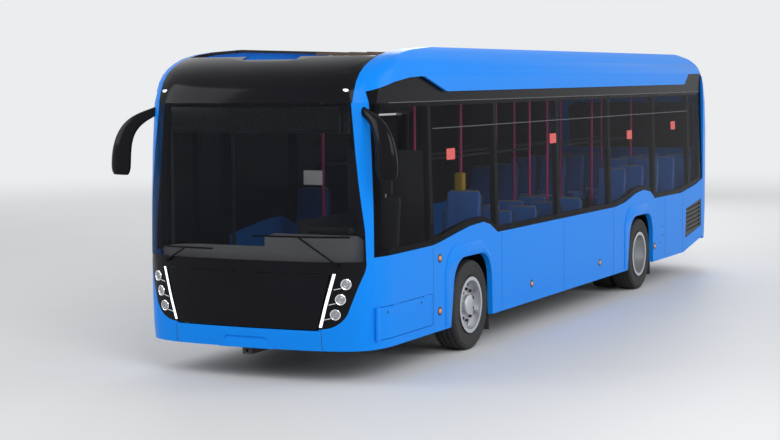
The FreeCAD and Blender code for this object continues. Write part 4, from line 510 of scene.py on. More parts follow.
def bead(name, middle, normal, radius, wire, finish_name, around=36):
    """A ring of round wire about a normal."""
    bpy.ops.mesh.primitive_torus_add(major_radius=radius, minor_radius=wire, major_segments=around,
                                     minor_segments=8, location=middle, rotation=lean_of(normal))
    return settle(bpy.context.object, name, finish_name)


def lens(name, middle, radius, stretch, finish_name, lean=(0, 0, 0), around=20, rings=10):
    """A ball that is pressed flat, set into the skin to its middle."""
    bpy.ops.mesh.primitive_uv_sphere_add(segments=around, ring_count=rings, radius=radius, location=middle,
                                         rotation=lean)
    bpy.context.object.scale = stretch
    return settle(bpy.context.object, name, finish_name, smooth=80)


# %% Make strips and plates
def ribbon(name, places, across, width, finish_name, lift=0.001, thickness=0.003):
    """A thin strip through places on the skin, each a (place, normal), lying along their normals."""
    across = Vector(across).normalized()
    corners = []
    for place, normal in places:
        side = (across - normal * across.dot(normal)).normalized() * (width / 2)
        corners += [place + normal * lift - side, place + normal * lift + side]
    faces = [(2 * i, 2 * i + 1, 2 * i + 3, 2 * i + 2) for i in range(len(places) - 1)]
    mesh = bpy.data.meshes.new(name)
    mesh.from_pydata([tuple(corner) for corner in corners], [], faces)
    piece = stand(name, mesh)
    wall = piece.modifiers.new("wall", "SOLIDIFY")
    wall.thickness = thickness
    wall.offset = 0
    bpy.ops.object.modifier_apply(modifier="wall")
    face_outwards()
    return settle(piece, name, finish_name)


def plate(name, outline, low_x, high_x, finish_name, bevel):
    """A flat piece of the given (y, z) outline, between two x."""
    mesh = bpy.data.meshes.new(name)
    mesh.from_pydata([(low_x, y, z) for y, z in outline], [], [tuple(range(len(outline)))])
    piece = stand(name, mesh)
    bpy.ops.object.mode_set(mode="EDIT")
    bpy.ops.mesh.select_all(action="SELECT")
    bpy.ops.mesh.extrude_region_move(TRANSFORM_OT_translate={"value": (high_x - low_x, 0, 0)})
    bpy.ops.object.mode_set(mode="OBJECT")
    face_outwards()
    return settle(piece, name, finish_name, bevel=bevel)


# %% Mirror and join
def mirrored_copy(piece, name):
    """The same piece on the bus's other side, with its own mesh."""
    copy = stand(name, piece.data.copy())
    copy.scale = (-1, 1, 1)
    place_into_mesh()
    face_outwards()
    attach(copy, body_of(piece)[0])
    return copy


def joined(pieces, name):
    """Makes one piece of several that move together."""
    alone(pieces[0])
    for piece in pieces:
        piece.select_set(True)
    bpy.ops.object.join()
    pieces[0].name = name
    return pieces[0]


# %% [markdown]
# Lamps in the nose
#
# Each side of the cowl carries a slanted strip of daylight lamp and three round lamps. A round lamp is a
# bright bowl behind a domed lens, held by a silver ring. The bowl and the strip are already in the frame, so
# the ring is a torus and the lens is a flattened ball, both set on the bowl's face. Lit strips are made from
# a finish that gives off a little light of its own.

# %% Light the lamps
LAMP_PLACES = ((1.036, 0.958), (0.988, 0.815), (0.940, 0.672))
LAMP_RADIUS, RING_RADIUS, BOWL_RADIUS = 0.048, 0.047, 0.024
RING_WIRE, BOWL_WIRE, RING_LIFT = 0.006, 0.005, 0.003
LENS_LIFT, LENS_STRETCH = 0.002, (1, 1, 0.22)

finish("lit_strip", ((0.80, 0.83, 0.88), (0.86, 0.88, 0.92)), (0.2, 0.3), Emission_Color=(0.9, 0.95, 1, 1),
       Emission_Strength=0.9)
finish("lamp_bowl", ((0.30, 0.31, 0.33), (0.42, 0.43, 0.45)), (0.10, 0.22), Metallic=0.9)
finish("lens_clear", ((0.55, 0.57, 0.60), (0.62, 0.64, 0.66)), (0.02, 0.06), Alpha=0.16)
finish("amber_lens", ((0.80, 0.22, 0.010), (0.90, 0.28, 0.016)), (0.1, 0.2), Coat_Weight=0.6)


def in_lamp(centre):
    """Whether a place lies in one of the round lamps."""
    off = min(math.hypot(abs(centre.x) - x, centre.z - z) for x, z in LAMP_PLACES)
    return off < LAMP_RADIUS + RING_WIRE


tint_faces(smooth_copy("headlamps", "lit_strip"), "lamp_bowl", in_lamp)
for number, (x, z) in enumerate(LAMP_PLACES):
    face, normal = on_nose(x, z, ("headlamps",))
    outer = bead("ring", face + normal * RING_LIFT, normal, RING_RADIUS, RING_WIRE, "chrome")
    inner = bead("bowl", face + normal * RING_LIFT, normal, BOWL_RADIUS, BOWL_WIRE, "lamp_bowl", 28)
    glass = lens("lamp_lens_%d" % number, face + normal * LENS_LIFT, LAMP_RADIUS - RING_WIRE, LENS_STRETCH,
                 "lens_clear", lean_of(normal), 28)
    for piece in (joined([outer, inner], "lamp_ring_%d" % number), glass):
        mirrored_copy(piece, piece.name + "_right")
print("lamps", len(LAMP_PLACES) * 2)

# %% Set the bars, bumper seams and position lamps
SIDES = (("right", -1), ("left", 1))
BAR_START, BAR_END = (0.108, 0.050), (0.045, 0.036)
BAR_WIDTH, BAR_LIFT, BAR_THICKNESS = 0.007, 0.003, 0.006
BUMPER_SEAM_X, BUMPER_SEAM_LEVELS = 0.80, (0.33, 0.40, 0.46, 0.50)
SEAM_WIDTH, SEAM_LIFT, SEAM_THICKNESS = 0.005, 0.0003, 0.001
POSITION_LAMP_X, POSITION_LAMP_Z = 0.99, 2.768
POSITION_LAMP_RADIUS, POSITION_LAMP_STRETCH = 0.026, (1.35, 0.35, 0.55)
for number, (x, z) in enumerate(LAMP_PLACES):
    ends = [on_nose(x - inwards, z - drop) for inwards, drop in (BAR_START, BAR_END)]
    bar = ribbon("lamp_bar_%d" % number, ends, (0, 0, 1), BAR_WIDTH, "chrome", BAR_LIFT, BAR_THICKNESS)
    mirrored_copy(bar, "lamp_bar_%d_right" % number)
bumper_seams = []
for x in (-BUMPER_SEAM_X, BUMPER_SEAM_X):
    places = [on_nose(x, z) for z in BUMPER_SEAM_LEVELS]
    bumper_seams.append(ribbon("seam", places, (1, 0, 0), SEAM_WIDTH, "seal_rubber", SEAM_LIFT,
                               SEAM_THICKNESS))
joined(bumper_seams, "bumper_seams")
for side, sign in SIDES:
    lens("position_lamp_" + side, on_nose(sign * POSITION_LAMP_X, POSITION_LAMP_Z)[0],
         POSITION_LAMP_RADIUS, POSITION_LAMP_STRETCH, "lit_strip")

# %% [markdown]
# Tyres and wheels
#
# A tyre is one profile turned about its axle: bead, sidewall with two fine rings, shoulder, and a crown with
# grooves. The Screw modifier turns an edge line into such a body. The shoulder ribs are then notched by
# pulling every third row of their vertices in, which gives blocks without any further cutting. The wheels
# are in the frame, so they only get nuts on washers and a hub cover, which are set on the face that a ray
# finds.

# %% Turn the tyres
FRONT_AXLE_Y, REAR_AXLE_Y, WHEEL_Z = -3.350, 2.490, 0.478
TYRE_HALF_WIDTH = 0.1355
TYRE_HALF_PROFILE = ((0.2905, 0.104), (0.300, 0.118), (0.318, 0.124), (0.321, 0.1275), (0.326, 0.127),
                     (0.352, 0.1345), (0.385, 0.1372), (0.425, TYRE_HALF_WIDTH), (0.428, 0.1372),
                     (0.433, TYRE_HALF_WIDTH), (0.455, 0.130), (0.468, 0.122), (0.4742, 0.113),
                     (0.4756, 0.090), (0.4640, 0.0875), (0.4640, 0.0790), (0.4762, 0.0765),
                     (0.4772, 0.0360), (0.4650, 0.0335), (0.4650, 0.0245), (0.4776, 0.0220), (0.4780, 0.0))
TYRE_STEPS, NOTCH_EVERY, NOTCH_DEPTH = 144, 3, 0.007
SHOULDER_X, SHOULDER_RADIUS = 0.088, 0.460


def turned_tyre(name, middle_x, y, body):
    """A grooved tyre about an axle that lies along x."""
    half = [(x, r) for r, x in TYRE_HALF_PROFILE]
    line = half + [(-x, r) for x, r in reversed(half[:-1])]
    mesh = bpy.data.meshes.new(name)
    mesh.from_pydata([(x, 0, r) for x, r in line], [(i, i + 1) for i in range(len(line) - 1)], [])
    tyre = stand(name, mesh)
    turning = tyre.modifiers.new("turning", "SCREW")
    turning.axis = "X"
    turning.steps = turning.render_steps = TYRE_STEPS
    turning.use_merge_vertices = True
    bpy.ops.object.modifier_apply(modifier="turning")
    for vertex in tyre.data.vertices:
        radius = math.hypot(vertex.co.y, vertex.co.z)
        step = round(math.atan2(vertex.co.y, vertex.co.z) / (2 * math.pi) * TYRE_STEPS)
        if abs(vertex.co.x) > SHOULDER_X and radius > SHOULDER_RADIUS and step % NOTCH_EVERY == 0:
            vertex.co.y *= 1 - NOTCH_DEPTH / radius
            vertex.co.z *= 1 - NOTCH_DEPTH / radius
    face_outwards()
    tyre.location = (middle_x, y, WHEEL_Z)
    return settle(tyre, name, "tyre_rubber", body, smooth=32)


for side in ("left", "right"):
    low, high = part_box("front_%s_tyre" % side)
    tyre = turned_tyre("front_%s_tread_tyre" % side, (low[0] + high[0]) / 2, FRONT_AXLE_Y,
                       body_of(nodes["front_%s_tyre" % side])[0])
    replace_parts(tyre, "front_%s_tyre" % side)
    low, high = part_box("rear_%s_tyres" % side)
    twins = [turned_tyre("twin", x, REAR_AXLE_Y, body_of(nodes["rear_%s_tyres" % side])[0])
             for x in (low[0] + TYRE_HALF_WIDTH, high[0] - TYRE_HALF_WIDTH)]
    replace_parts(joined(twins, "rear_%s_tread_tyres" % side), "rear_%s_tyres" % side)
print("tyre faces", len(tyre.data.polygons))

# %% Bolt the wheels
NUT_CIRCLE, NUT_COUNT, NUT_RADIUS, NUT_LENGTH, NUT_SINK = 0.1675, 10, 0.0165, 0.030, 0.002
WASHER_RADIUS, WASHER_LENGTH, WASHER_SINK = NUT_RADIUS * 1.35, 0.006, 0.001
COVER_RADIUS, COVER_DEPTH, COVER_PROUD, COVER_ROUND = 0.108, 0.070, 0.006, 0.014
finish("nut_dark", ((0.008, 0.008, 0.009), (0.016, 0.016, 0.017)), (0.35, 0.5), Metallic=0.4)
finish("nut_steel", ((0.33, 0.33, 0.34), (0.45, 0.45, 0.46)), (0.25, 0.4), Metallic=0.9)


def bolts(wheel, axle_y, body):
    """The nuts of one wheel, on their washers."""
    pieces = []
    for number in range(NUT_COUNT):
        angle = 2 * math.pi * (number + 0.5) / NUT_COUNT
        y, z = axle_y + NUT_CIRCLE * math.cos(angle), WHEEL_Z + NUT_CIRCLE * math.sin(angle)
        x = on_left(y, z, (wheel,))[0].x
        pieces.append(rod("nut", (x - NUT_SINK, y, z), (x + NUT_LENGTH, y, z), NUT_RADIUS, "nut_dark", body,
                          6, 0.003))
        pieces.append(rod("washer", (x - WASHER_SINK, y, z), (x + WASHER_LENGTH, y, z), WASHER_RADIUS,
                          "nut_steel", body, 18, 0.002))
    return pieces


for place, wheel, axle_y in (("front", "front_left_wheel", FRONT_AXLE_Y),
                             ("rear", "rear_left_wheels", REAR_AXLE_Y)):
    body = body_of(nodes[wheel])[0]
    nuts = joined(bolts(wheel, axle_y, body), place + "_left_nuts")
    x = on_left(axle_y, WHEEL_Z, (wheel,))[0].x
    cap = rod(place + "_left_hub_cap", (x - COVER_DEPTH, axle_y, WHEEL_Z), (x + COVER_PROUD, axle_y, WHEEL_Z),
              COVER_RADIUS, "rim_silver", body, 48, COVER_ROUND)
    for piece in (nuts, cap):
        copy = mirrored_copy(piece, piece.name.replace("left", "right"))
        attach(copy, body.replace("left", "right"))
print("nuts", NUT_COUNT * 4)

# %% [markdown]
# The side: seams, markers and flares
#
# The lower side is made of large panels. Fine dark lines show where they meet, small amber lamps mark the
# side at night, and round locks close the flaps. Most of this is laid on the skin, whose place is found by a
# ray, so that it follows the slope of the glass and the round of the corner. Each wheel arch has a raised
# lip before and over it that fades behind the wheel. The lip is a plate on the flat of the side.

# %% Draw the panel seams
NOSE_Y = -6.000
SEAM_PLACES = (1.59, 3.42, 5.40, 7.27, 9.55, 10.42)
SEAM_LEVELS = (0.325, 0.55, 0.80, 1.00, 1.12, 1.185)
finish("seam_shade", ((0.003, 0.030, 0.120), (0.004, 0.036, 0.140)), (0.5, 0.6))


def back(distance):
    """The y of a place this far behind the nose."""
    return NOSE_Y + distance


seams = []
for distance in SEAM_PLACES:
    places = [on_left(back(distance), z) for z in SEAM_LEVELS]
    seams.append(ribbon("seam", places, (0, 1, 0), SEAM_WIDTH, "seam_shade", SEAM_LIFT, SEAM_THICKNESS))
mirrored_copy(joined(seams, "left_panel_seams"), "right_panel_seams")

# %% Set the side markers and locks
MARKER_PLACES = ((1.75, 1.06), (1.744, 0.523), (4.33, 0.523), (6.72, 0.532), (9.05, 0.535))
MARKER_RADIUS, MARKER_STRETCH = 0.029, (0.45, 1.25, 0.9)
RIM_RADIUS, RIM_PROUD = MARKER_RADIUS * 1.62, 0.004
LOCK_PLACES = ((9.42, 0.78), (9.42, 0.66), (10.30, 0.80), (9.30, 0.56))
FLAP_LOCKS, FLAP_LOCK_Z = (0.55, 1.30), 0.66
LOCK_RADIUS, LOCK_HALF = 0.013, 0.002


def lock(name, seat, normal, body="body"):
    """A round lock, nearly flush in the skin."""
    return rod(name, seat - normal * LOCK_HALF, seat + normal * LOCK_HALF, LOCK_RADIUS, "dark_plastic", body,
               20, 0.001)


markers, locks = [], []
for distance, z in MARKER_PLACES:
    seat, normal = on_left(back(distance), z)
    markers.append(lens("marker", seat, MARKER_RADIUS, MARKER_STRETCH, "amber_lens"))
    locks.append(rod("rim", seat - normal * LOCK_HALF, seat + normal * RIM_PROUD, RIM_RADIUS, "dark_plastic",
                     sides=28, bevel=0.002))
for distance in FLAP_LOCKS:
    seat, normal = on_left(back(distance), FLAP_LOCK_Z, ("service_flap",))
    lock("flap_lock_%d" % (distance * 100), seat, normal, body_of(nodes["service_flap"])[0])
for distance, z in LOCK_PLACES:
    locks.append(lock("lock", *on_left(back(distance), z)))
mirrored_copy(joined(markers, "left_side_markers"), "right_side_markers")
mirrored_copy(joined(locks, "left_marker_rims"), "right_marker_rims")
print("markers", len(MARKER_PLACES) * 2)

# %% Raise the lips of the wheel arches
ARCH_AHEAD, ARCH_BEHIND, ARCH_TOP, ARCH_ROUND, ARCH_GAP = 0.635, 0.515, 1.014, 0.300, 0.002
LIP_FOOT, LIP_AHEAD, LIP_TOP, LIP_ROUND = 0.34, 0.775, 1.165, 0.330
LIP_TURN, LIP_END, LIP_END_DROP = 0.18, 0.44, 0.05
BODY_SIDE_X, LIP_SINK, LIP_PROUD, LIP_EDGE = 1.275, 0.002, 0.006, 0.005


def spread(start, end, steps):
    """Evenly spaced values from start to end."""
    return [start + (end - start) * i / steps for i in range(steps + 1)]


def arc(middle_y, middle_z, radius, start, end, steps=8):
    """Places on a round, from one angle to another in degrees."""
    angles = [math.radians(angle) for angle in spread(start, end, steps)]
    return [(middle_y + radius * math.cos(a), middle_z + radius * math.sin(a)) for a in angles]


for place, axle_y in (("front", FRONT_AXLE_Y), ("rear", REAR_AXLE_Y)):
    outer = [(axle_y - LIP_AHEAD, LIP_FOOT)]
    outer += arc(axle_y - LIP_AHEAD + LIP_ROUND, LIP_TOP - LIP_ROUND, LIP_ROUND, 180, 90)
    outer += [(axle_y + LIP_TURN, LIP_TOP), (axle_y + LIP_END, ARCH_TOP - LIP_END_DROP)]
    round_z, radius = ARCH_TOP - ARCH_ROUND, ARCH_ROUND + ARCH_GAP
    inner = [(axle_y - ARCH_AHEAD - ARCH_GAP, LIP_FOOT)]
    inner += arc(axle_y - ARCH_AHEAD + ARCH_ROUND, round_z, radius, 180, 90)
    inner += arc(axle_y + ARCH_BEHIND - ARCH_ROUND, round_z, radius, 90, 42, 4)
    lip = plate(place + "_left_arch_lip", outer + inner[::-1], BODY_SIDE_X - LIP_SINK,
                BODY_SIDE_X + LIP_PROUD, "sky_blue_paint", LIP_EDGE)
    mirrored_copy(lip, place + "_right_arch_lip")

# %% Line the windows
TRIM_LINES = ((2.645, 0.66, 11.36), (2.372, 1.66, 10.75))
TRIM_STEPS, TRIM_WIDTH, TRIM_THICKNESS = 24, 0.009, 0.004
WINDOW_BARS = (1.60, 3.33, 5.27, 7.18, 9.10, 10.80)
BAR_STEPS, DIVIDER_WIDTH, BAR_HEAD_Z, BAR_FOOT_Z, END_BAR_FOOT_Z = 8, 0.012, 2.63, 1.24, 1.42
finish("trim_grey", ((0.035, 0.038, 0.052), (0.050, 0.054, 0.070)), (0.35, 0.45), 0.1, 300)
trims = []
for z, start, end in TRIM_LINES:
    places = [on_left(back(distance), z) for distance in spread(start, end, TRIM_STEPS)]
    trims.append(ribbon("trim", places, (0, 0, 1), TRIM_WIDTH, "trim_grey", thickness=TRIM_THICKNESS))
for distance in WINDOW_BARS:
    foot_z = END_BAR_FOOT_Z if distance in (WINDOW_BARS[0], WINDOW_BARS[-1]) else BAR_FOOT_Z
    places = [on_left(back(distance), z) for z in spread(foot_z, BAR_HEAD_Z, BAR_STEPS)]
    trims.append(ribbon("divider", places, (0, 1, 0), DIVIDER_WIDTH, "seal_rubber"))
joined(trims, "left_window_trims")
print("trims", len(trims))

# %% Stick on the blank patches
PATCHES = ((2.10, 2.10), (5.10, 2.16), (8.00, 2.11), (10.00, 2.18))
PATCH_WIDTH, PATCH_HEIGHT, PATCH_THICKNESS = 0.215, 0.115, 0.001
finish("patch_red", ((0.62, 0.060, 0.055), (0.70, 0.085, 0.075)), (0.4, 0.5), 0.1, 300)
patches = []
for distance, z in PATCHES:
    edges = spread(distance - PATCH_WIDTH / 2, distance + PATCH_WIDTH / 2, 2)
    patches.append(ribbon("patch", [on_left(back(edge), z) for edge in edges], (0, 0, 1), PATCH_HEIGHT,
                          "patch_red", thickness=PATCH_THICKNESS))
joined(patches, "left_window_patches")

# %% [markdown]
# Mirrors like horns
#
# The mirrors of this bus are dark glossy horns that grow from the pillar's head, swing out and hang down,
# with the glass in the back of the lower part. A horn is easily drawn as a curve whose thickness grows along
# it, and then pressed flatter from front to back. The curve is made a mesh before it gets its place.

# %% Shape the mirrors
HORN = (((1.120, 2.585), 0.040), ((1.200, 2.545), 0.046), ((1.290, 2.500), 0.058), ((1.375, 2.420), 0.078),
        ((1.430, 2.310), 0.096), ((1.455, 2.180), 0.108), ((1.462, 2.060), 0.112), ((1.465, 1.975), 0.108),
        ((1.466, 1.945), 0.080))
HORN_Y, HORN_FLAT, HORN_BEND = -5.855, 0.50, 0.17
HORN_ROOT_X, HORN_HANG_X = 1.12, 1.46
horn_line = bpy.data.curves.new("horn", "CURVE")
horn_line.dimensions = "3D"
horn_line.bevel_depth = 1.0
horn_line.bevel_resolution = 8
horn_line.resolution_u = 8
horn_line.use_fill_caps = True
spline = horn_line.splines.new("NURBS")
spline.points.add(len(HORN) - 1)
for point, ((x, z), radius) in zip(spline.points, HORN):
    nearness = (HORN_HANG_X - x) / (HORN_HANG_X - HORN_ROOT_X)
    point.co = (x, HORN_BEND * max(nearness, 0) / HORN_FLAT, z, 1)
    point.radius = radius
spline.order_u = 4
spline.use_endpoint_u = True
stand("left_mirror_horn", horn_line)
bpy.ops.object.convert(target="MESH")
horn = bpy.context.object
horn.scale = (1, HORN_FLAT, 1)
horn.location = (0, HORN_Y, 0)
settle(horn, "left_mirror_horn", "gloss_black", smooth=60)
mirrored_copy(horn, "right_mirror_horn")
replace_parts(horn, "mirrors")
print("mirror", [round(v, 3) for v in horn.dimensions])

# %% Set the mirror glass
MIRROR_PLACE, MIRROR_SIZE = (1.462, HORN_Y + 0.052, 2.11), (0.150, 0.012, 0.290)
finish("mirror_glass", ((0.62, 0.64, 0.66), (0.68, 0.70, 0.72)), (0.02, 0.04), Metallic=1.0)
glass = lens("left_mirror_glass", MIRROR_PLACE, 0.5, MIRROR_SIZE, "mirror_glass", around=40, rings=12)
mirrored_copy(glass, "right_mirror_glass")

# %% [markdown]
# Glass on both sides
#
# The panes on the left are see-through, so that the seats and rails show. Those on the doors' side and at
# the back are opaque dark glass that paints the shade of the inside seen through the bus. The panes are
# separate solids in their nodes, so a copy of each node gets its second finish by the place of its faces.

# %% Tint the panes
LEAF_BORDER, LEAF_FOOT, LEAF_HEAD, PANE_DEPTH = 0.062, 0.024, 0.018, 0.030


def in_pane_of(name):
    """A test that says whether a place lies in the pane of a door leaf."""
    low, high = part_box(name)
    foot, head = low[2] + LEAF_FOOT, high[2] - LEAF_HEAD

    def in_pane(centre):
        inside = low[1] + LEAF_BORDER < centre.y < high[1] - LEAF_BORDER
        return inside and foot + LEAF_BORDER < centre.z < head - LEAF_BORDER and centre.x < low[0] + PANE_DEPTH

    return in_pane


# Painted shade: the far-side panes, the rear window and the door panes get the opaque dark glass.
tint_faces(smooth_copy("side_glazing", "side_glass"), "painted_shade_glass", lambda centre: centre.x < 0)
smooth_copy("rear_window", "painted_shade_glass")
for half in DOOR_HALVES:
    name = "%s_door_leaf_%s" % half
    tint_faces(smooth_copy(name, "band_black"), "painted_shade_glass", in_pane_of(name))
print("panes tinted")

# %% [markdown]
# Seats
#
# A bus seat is a moulded shell with a thin upholstered pad on the cushion and another on the back, and a
# grey grip along the top. The frame holds a plain block of each seat, so every block is found as a loose
# part of its node, and tells where the seat stands and which way it faces. One seat of each size is modelled
# and copied to its places. A pad starts as a cube that is divided, crowned towards its middle, pulled in
# between its corners and pressed down along two sewn channels. It is then subdivided, which gives a soft
# closed form.

# %% Find the seats
TOP_BAND = 0.02


def loose_boxes(node_name):
    """The corners of each separate solid of a node, and whether its top lies towards the back."""
    stand("probe", nodes[node_name].data.copy())
    bpy.ops.object.mode_set(mode="EDIT")
    bpy.ops.mesh.select_all(action="SELECT")
    bpy.ops.mesh.remove_doubles(threshold=WELD)
    bpy.ops.mesh.separate(type="LOOSE")
    bpy.ops.object.mode_set(mode="OBJECT")
    boxes = []
    for part in list(bpy.context.selected_objects):
        places = [vertex.co.copy() for vertex in part.data.vertices]
        low = [min(place[i] for place in places) for i in range(3)]
        high = [max(place[i] for place in places) for i in range(3)]
        top = [place.y for place in places if place.z > high[2] - TOP_BAND]
        boxes.append((low, high, sum(top) / len(top) > (low[1] + high[1]) / 2))
        bpy.data.objects.remove(part)
    return sorted(boxes, key=lambda entry: (entry[0][1], entry[0][0]))


seat_boxes = loose_boxes("passenger_seats")
print("seats", len(seat_boxes), [round(v, 3) for v in seat_boxes[0][0] + seat_boxes[0][1]])

# %% Upholster a pad
PAD_CUTS, PAD_BODY, PAD_BELLY = 7, 0.72, 0.2
CHANNEL_PLACE, CHANNEL_REACH, CHANNEL_DEPTH = 0.5, 0.14, 0.10


def pad(size, place, crown, pinch, finish_name, lean=0):
    """A crowned cushion of the given size about a place, that leans back by an angle in degrees."""
    bpy.ops.mesh.primitive_cube_add(size=1, location=(0, 0, 0))
    piece = bpy.context.object
    bpy.ops.object.mode_set(mode="EDIT")
    bpy.ops.mesh.subdivide(number_cuts=PAD_CUTS)
    bpy.ops.object.mode_set(mode="OBJECT")
    for vertex in piece.data.vertices:
        x, y, z = vertex.co * 2
        middle = (1 - x * x) * (1 - y * y)
        vertex.co.x *= 1 - pinch * (1 - y * y)
        vertex.co.y *= 1 - pinch * (1 - x * x)
        vertex.co.z = vertex.co.z * PAD_BODY + (crown if z > 0 else -crown * PAD_BELLY) * middle
        if z > 0 and abs(abs(x) - CHANNEL_PLACE) < CHANNEL_REACH:
            vertex.co.z -= CHANNEL_DEPTH
    softening = piece.modifiers.new("softening", "SUBSURF")
    softening.levels = softening.render_levels = 1
    alone(piece)
    bpy.ops.object.modifier_apply(modifier="softening")
    piece.scale = size
    piece.rotation_euler = (math.radians(lean), 0, 0)
    piece.location = place
    return settle(piece, "pad", finish_name, smooth=60)


# %% Build a seat
CUSHION_DROP, CUSHION_LIFT, CUSHION_THICKNESS = 0.60, 0.030, 0.080
BACK_DEPTH, BACK_LENGTH, BACK_THICKNESS, BACK_LIFT, BACK_LEAN = 0.055, 0.52, 0.065, 0.325, 82
SHELL_INSET, SHELL_DROP, SHELL_TOP, SHELL_ROUND = 0.012, 0.10, 0.045, 0.022
RIM_INSET, RIM_TOP, PAN_INSET, PAN_DROP, EDGE_ROUND = 0.004, 0.036, 0.010, 0.055, 0.012
GRIP_INSET, GRIP_BACK, GRIP_DROP, GRIP_RADIUS = 0.05, 0.030, 0.020, 0.014
STEM_INSET, STEM_DROP, STEM_RADIUS = 0.055, 0.10, 0.012
LEG_FROM_CUSHION = 0.10
finish("seat_shell", ((0.022, 0.130, 0.460), (0.034, 0.165, 0.540)), (0.35, 0.5), 0.3, 380)
finish("grip_grey", ((0.20, 0.205, 0.21), (0.26, 0.265, 0.27)), (0.4, 0.5), 0.2, 300)


def seat_parts(width, depth, height):
    """The pads, shell and grip of one seat that faces forwards, with its box's low corner at the origin."""
    cushion_z, back_y = height - CUSHION_DROP, depth - BACK_DEPTH
    shell_foot, pan_foot = max(cushion_z - SHELL_DROP, 0.004), max(cushion_z - PAN_DROP, 0.002)
    grip_y, grip_z = depth - GRIP_BACK, height - GRIP_DROP
    pads = [pad((width * 0.92, depth * 0.84, CUSHION_THICKNESS),
                (width / 2, depth * 0.47, cushion_z + CUSHION_LIFT), 0.16, 0.025, "seat_cloth"),
            pad((width * 0.88, BACK_LENGTH, BACK_THICKNESS),
                (width / 2, back_y - 0.028, cushion_z + BACK_LIFT), 0.18, 0.030, "seat_cloth", BACK_LEAN)]
    shell = [block("shell", (SHELL_INSET, back_y, shell_foot),
                   (width - SHELL_INSET, depth - 0.004, height - SHELL_TOP), "seat_shell", bevel=SHELL_ROUND),
             block("rim", (RIM_INSET, back_y + 0.012, cushion_z + 0.02),
                   (width - RIM_INSET, depth - 0.016, height - RIM_TOP), "dark_plastic", bevel=EDGE_ROUND),
             block("pan", (PAN_INSET, 0.030, pan_foot), (width - PAN_INSET, depth - 0.010, cushion_z + 0.005),
                   "seat_shell", bevel=0.006)]
    if cushion_z >= LEG_FROM_CUSHION:
        shell.append(block("leg", (width * 0.36, depth * 0.35, 0.0),
                           (width * 0.64, depth * 0.75, cushion_z - 0.05), "grey_moulding", bevel=EDGE_ROUND))
    grip = [rod("grip", (GRIP_INSET, grip_y, grip_z), (width - GRIP_INSET, grip_y, grip_z), GRIP_RADIUS,
                "grip_grey", bevel=0.004)]
    grip += [rod("stem", (x, grip_y, height - STEM_DROP), (x, grip_y, grip_z), STEM_RADIUS, "grip_grey")
             for x in (STEM_INSET, width - STEM_INSET)]
    return joined(pads, "pads"), joined(shell, "shell"), joined(grip, "grip")


# %% Set out the seats
seat_kinds = {}
placed = {"seat_pads": [], "seat_shells": [], "seat_grips": []}
for low, high, faces_forward in seat_boxes:
    kind = tuple(round(b - a, 2) for a, b in zip(low, high))
    if kind not in seat_kinds:
        seat_kinds[kind] = seat_parts(*kind)
    for name, model in zip(placed, seat_kinds[kind]):
        piece = stand(name, model.data.copy())
        if faces_forward:
            piece.location = low
        else:
            piece.rotation_euler = (0, 0, math.pi)
            piece.location = (high[0], high[1], low[2])
        place_into_mesh()
        placed[name].append(piece)
for models in seat_kinds.values():
    for model in models:
        bpy.data.objects.remove(model)
for name, pieces in placed.items():
    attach(joined(pieces, name), "body")
seat_pads = bpy.data.objects["seat_pads"]
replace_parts(seat_pads, "passenger_seats")
print("seat kinds", len(seat_kinds), "pad faces", len(seat_pads.data.polygons))

# %% [markdown]
# The driver's seat
#
# The driver sits on a taller seat with a headrest, on a pedestal. Its three pads are made as the others are.
# Each line of the table gives a pad's width, length and thickness, how far behind the seat's front and how
# high its middle lies, its crown, how far its sides pull in, and its lean in degrees.

# %% Upholster the driver's seat
DRIVER_PADS = ((0.46, 0.47, 0.110, 0.245, 1.010, 0.16, 0.03, 0),
               (0.45, 0.66, 0.090, 0.500, 1.360, 0.18, 0.04, 83),
               (0.25, 0.18, 0.070, 0.560, 1.800, 0.20, 0.05, 84))
PEDESTAL_HALF, PEDESTAL_START, PEDESTAL_END, PEDESTAL_TOP = 0.09, 0.14, 0.34, 0.965
SHELL_HALF, SHELL_START, SHELL_END, SHELL_LOW, SHELL_HIGH = 0.20, 0.525, 0.560, 1.05, 1.62
POST_X, POST_START, POST_END, POST_LOW, POST_HIGH, POST_RADIUS = 0.05, 0.555, 0.565, 1.60, 1.78, 0.008
low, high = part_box("driver_seat")
x, y = (low[0] + high[0]) / 2, low[1]
driver_pads = joined([pad((width, length, thickness), (x, y + behind, z), crown, pinch, "driver_cloth", lean)
                      for width, length, thickness, behind, z, crown, pinch, lean in DRIVER_PADS],
                     "driver_pads")
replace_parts(driver_pads, "driver_seat")
base = [block("pedestal", (x - PEDESTAL_HALF, y + PEDESTAL_START, low[2]),
              (x + PEDESTAL_HALF, y + PEDESTAL_END, PEDESTAL_TOP), "dark_plastic", bevel=0.015),
        block("back_shell", (x - SHELL_HALF, y + SHELL_START, SHELL_LOW),
              (x + SHELL_HALF, y + SHELL_END, SHELL_HIGH), "dark_plastic", bevel=0.015)]
base += [rod("post", (post_x, y + POST_START, POST_LOW), (post_x, y + POST_END, POST_HIGH), POST_RADIUS,
             "chrome") for post_x in (x - POST_X, x + POST_X)]
joined(base, "driver_seat_base")

# %% [markdown]
# Inside the cab and the saloon
#
# Through the windscreen one sees the pale hump of the dashboard with its dials, the box of the route display
# that hangs behind the glass, and a blank white card. In the saloon, low rails join the poles, yellow ticket
# devices hang on two of them, and lamps run along the ceiling. They are few and small, but they show through
# the glass.

